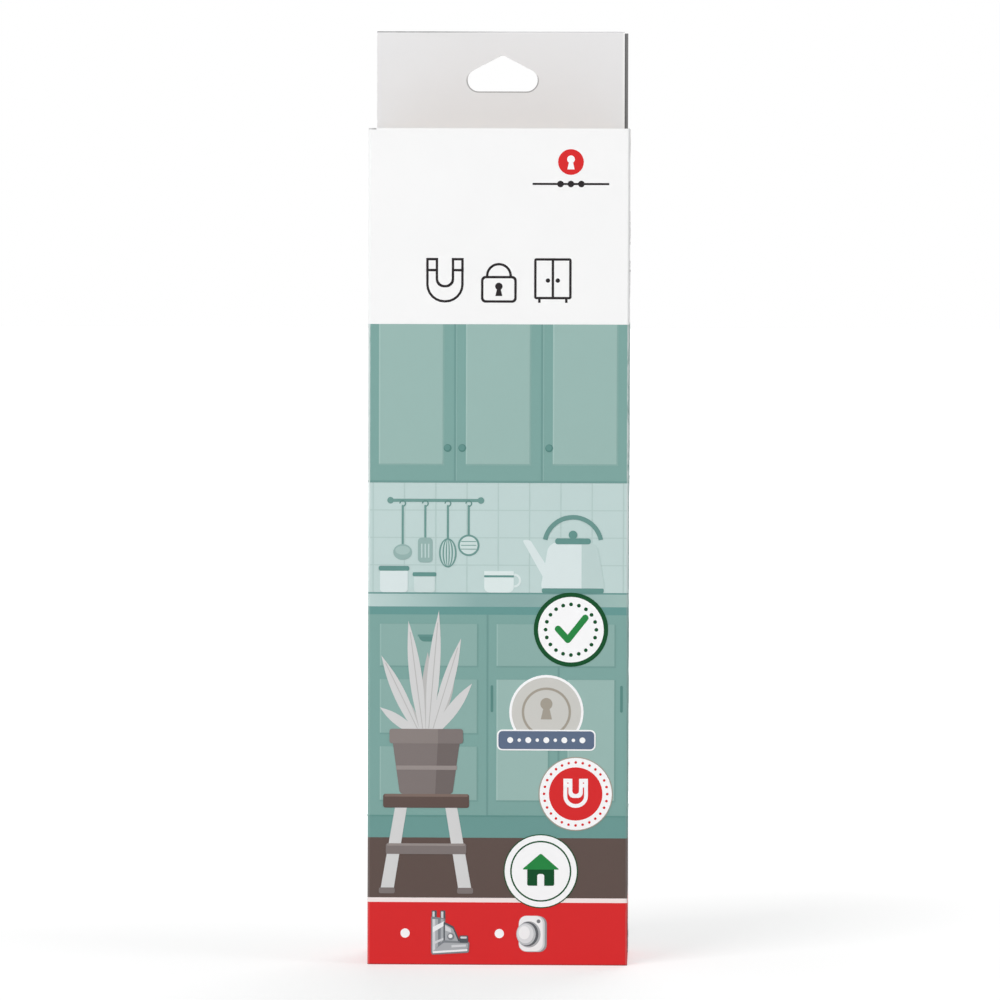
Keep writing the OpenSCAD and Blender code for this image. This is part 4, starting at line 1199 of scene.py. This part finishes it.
class CARTON_OT_lock(bpy.types.Operator):
    """Finish the lock, its strike, the cradle and the pads."""

    bl_idname = "lock_carton.lock"
    bl_label = "Lock and cradle"

    def execute(self, context):
        goods = context.scene.carton_goods
        grey = moulded("lock_plastic", goods.lock, 0.22, grain=1800, depth=0.006, coat=0.6, marks=0.02, silver=0.5)
        dress("lock_base lock_hood strike_base", grey, goods.edge)
        dress("latch catch_slider", moulded("latch_plastic", goods.latch, 0.28, coat=0.25), goods.edge)
        frost = moulded("cradle_plastic", goods.cradle, 0.46, grain=900, depth=0.02)
        dress("alignment_cradle", frost, goods.edge)
        dress("pivot_pin", metal("pin_steel", seen(176, 178, 180), 0.18, (1, 0.2, 1)))
        dress("latch_magnet", metal("latch_nickel", seen(205, 203, 196), 0.16))
        dress("lock_pad strike_pad", foam(goods))
        dress("lock_liner strike_liner", liner_paper(goods))
        return {"FINISHED"}


class CARTON_OT_spring(bpy.types.Operator):
    """Wind the latch spring with closed end turns."""

    bl_idname = "lock_carton.spring"
    bl_label = "Latch spring"

    def execute(self, context):
        wire = context.scene.carton_goods.wire
        low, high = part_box("latch_spring")
        centre = (low + high) / 2
        radius = (high.x - low.x - wire) / 2
        shape = bmesh.new()
        start = Matrix.Translation((centre.x + radius, centre.y, low.z + wire / 2))
        place = start @ Matrix.Rotation(math.pi / 2, 4, "X")
        bmesh.ops.create_circle(shape, segments=12, radius=wire / 2, matrix=place)
        rim = shape.edges[:] + shape.verts[:]
        # A turn at each end lies closed, a hair apart
        closed = wire * 1.02
        for turns, climb in ((1, closed), (OPEN_TURNS, high.z - low.z - wire - 2 * closed), (1, closed)):
            steps = TURN_STEPS * turns
            rim = bmesh.ops.spin(
                shape,
                geom=rim,
                cent=(centre.x, centre.y, 0),
                axis=(0, 0, 1),
                dvec=(0, 0, climb / steps),
                angle=2 * math.pi * turns,
                steps=steps,
            )["geom_last"]
        bmesh.ops.remove_doubles(shape, verts=shape.verts[:], dist=SAME_POINT)
        bmesh.ops.holes_fill(shape, edges=[edge for edge in shape.edges if edge.is_boundary], sides=0)
        steel = metal("spring_steel", seen(168, 170, 172), 0.22, (1, 1, 0.3))
        piece = new_piece("latch_coil", shape, steel, "tray")
        piece.data.shade_smooth()
        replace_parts(piece, "latch_spring")
        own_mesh(piece)
        return {"FINISHED"}


class CARTON_OT_stage(bpy.types.Operator):
    """Set the camera, the lamps, the room's light and a pale floor."""

    bl_idname = "lock_carton.stage"
    bl_label = "Stage"

    def execute(self, context):
        scene, stage = context.scene, context.scene.carton_stage
        scene.view_settings.view_transform = "Standard"
        self.camera(scene, stage)
        self.lamp("main_lamp", (-1.5, -2.2, 1.15), 1.6, stage.key_power)
        self.lamp("side_lamp", (2.2, -0.9, 0.9), 1.2, stage.fill_power)
        self.lamp("back_lamp", (0.5, 2.6, 1.3), 1.8, stage.back_power)
        self.world(scene, stage.ambient)
        shape = bmesh.new()
        bmesh.ops.create_grid(shape, x_segments=1, y_segments=1, size=FLOOR_HALF)
        mesh_object("floor", shape, self.floor())
        return {"FINISHED"}

    def camera(self, scene, stage):
        lens = bpy.data.cameras.new("camera")
        lens.lens = stage.lens
        camera = bpy.data.objects.new("camera", lens)
        aside = Matrix.Rotation(stage.aside, 4, "Z")
        back = Matrix.Translation((0, -stage.far, stage.tall))
        down = Matrix.Rotation(math.pi / 2 - stage.down, 4, "X")
        camera.matrix_world = aside @ back @ down @ Matrix.Rotation(stage.roll, 4, "Z")
        scene.collection.objects.link(camera)
        scene.camera = camera

    def lamp(self, name, place, size, power):
        """A square lamp that looks at the carton's middle."""
        light = bpy.data.lights.new(name, "AREA")
        light.size = size
        light.energy = power
        lamp = bpy.data.objects.new(name, light)
        lamp.location = place
        away = Vector(place) - Vector((0, 0, CAD_BOX[1][2] / 2))
        lamp.rotation_euler = away.to_track_quat("Z", "Y").to_euler()
        bpy.context.scene.collection.objects.link(lamp)

    def world(self, scene, ambient):
        """White to the camera and in reflections, softer as a light."""
        scene.world = bpy.data.worlds.new("room")
        scene.world.use_nodes = True
        room = Nodes(scene.world.node_tree)
        sky = room.tree.nodes["Background"]
        room.set(sky.inputs["Color"], (1, 1, 1))
        room.set(sky.inputs["Strength"], ambient + (1 - ambient) * room.looked_at())

    def floor(self):
        """Pale matt floor, white to the camera but for the carton's shadow."""
        paint = Paint("floor", specular_ior_level=0.1)
        cloud = paint.noise(3, 2)
        tone = paint.scaled(seen(205, 205, 205), 0.99 + 0.01 * cloud)
        paint.shader.inputs["Emission Strength"].default_value = 1
        x, y, z = paint.axes()
        away = (x * x + y * y).math("SQRT").ramp(0.06, 0.7)
        glow = paint.mix(away, (0.47, 0.47, 0.47), (1, 1, 1))
        glow = paint.mix(paint.looked_at(), (0, 0, 0), glow)
        return paint.finish(tone, 0.9 + 0.05 * cloud, Emission_Color=glow)


class CARTON_PT_panel(bpy.types.Panel):
    """Steps and settings of the carton."""

    bl_idname = "CARTON_PT_panel"
    bl_label = "Lock carton"
    bl_space_type = "VIEW_3D"
    bl_region_type = "UI"
    bl_category = "Lock carton"

    def draw(self, context):
        layout = self.layout
        for step in STEPS:
            layout.operator(step.bl_idname)
        for name in GROUPS:
            held = getattr(context.scene, name)
            box = layout.box()
            for key in held.bl_rna.properties.keys():
                if key not in ("rna_type", "name"):
                    box.prop(held, key)


GROUPS = {
    "carton_fields": CARTON_PG_fields,
    "carton_inks": CARTON_PG_inks,
    "carton_goods": CARTON_PG_goods,
    "carton_stage": CARTON_PG_stage,
}
STEPS = (
    CARTON_OT_stage,
    CARTON_OT_board,
    CARTON_OT_front,
    CARTON_OT_sides,
    CARTON_OT_tray,
    CARTON_OT_leaflet,
    CARTON_OT_key,
    CARTON_OT_lock,
    CARTON_OT_spring,
)


def register():
    for group in (*GROUPS.values(), *STEPS, CARTON_PT_panel):
        bpy.utils.register_class(group)
    for name, group in GROUPS.items():
        setattr(bpy.types.Scene, name, bpy.props.PointerProperty(type=group))


def unregister():
    for name in GROUPS:
        delattr(bpy.types.Scene, name)
    for group in reversed((*GROUPS.values(), *STEPS, CARTON_PT_panel)):
        bpy.utils.unregister_class(group)


def main():
    register()
    for step in STEPS:
        area, name = step.bl_idname.split(".")
        getattr(getattr(bpy.ops, area), name)()


if __name__ == "__main__":
    main()
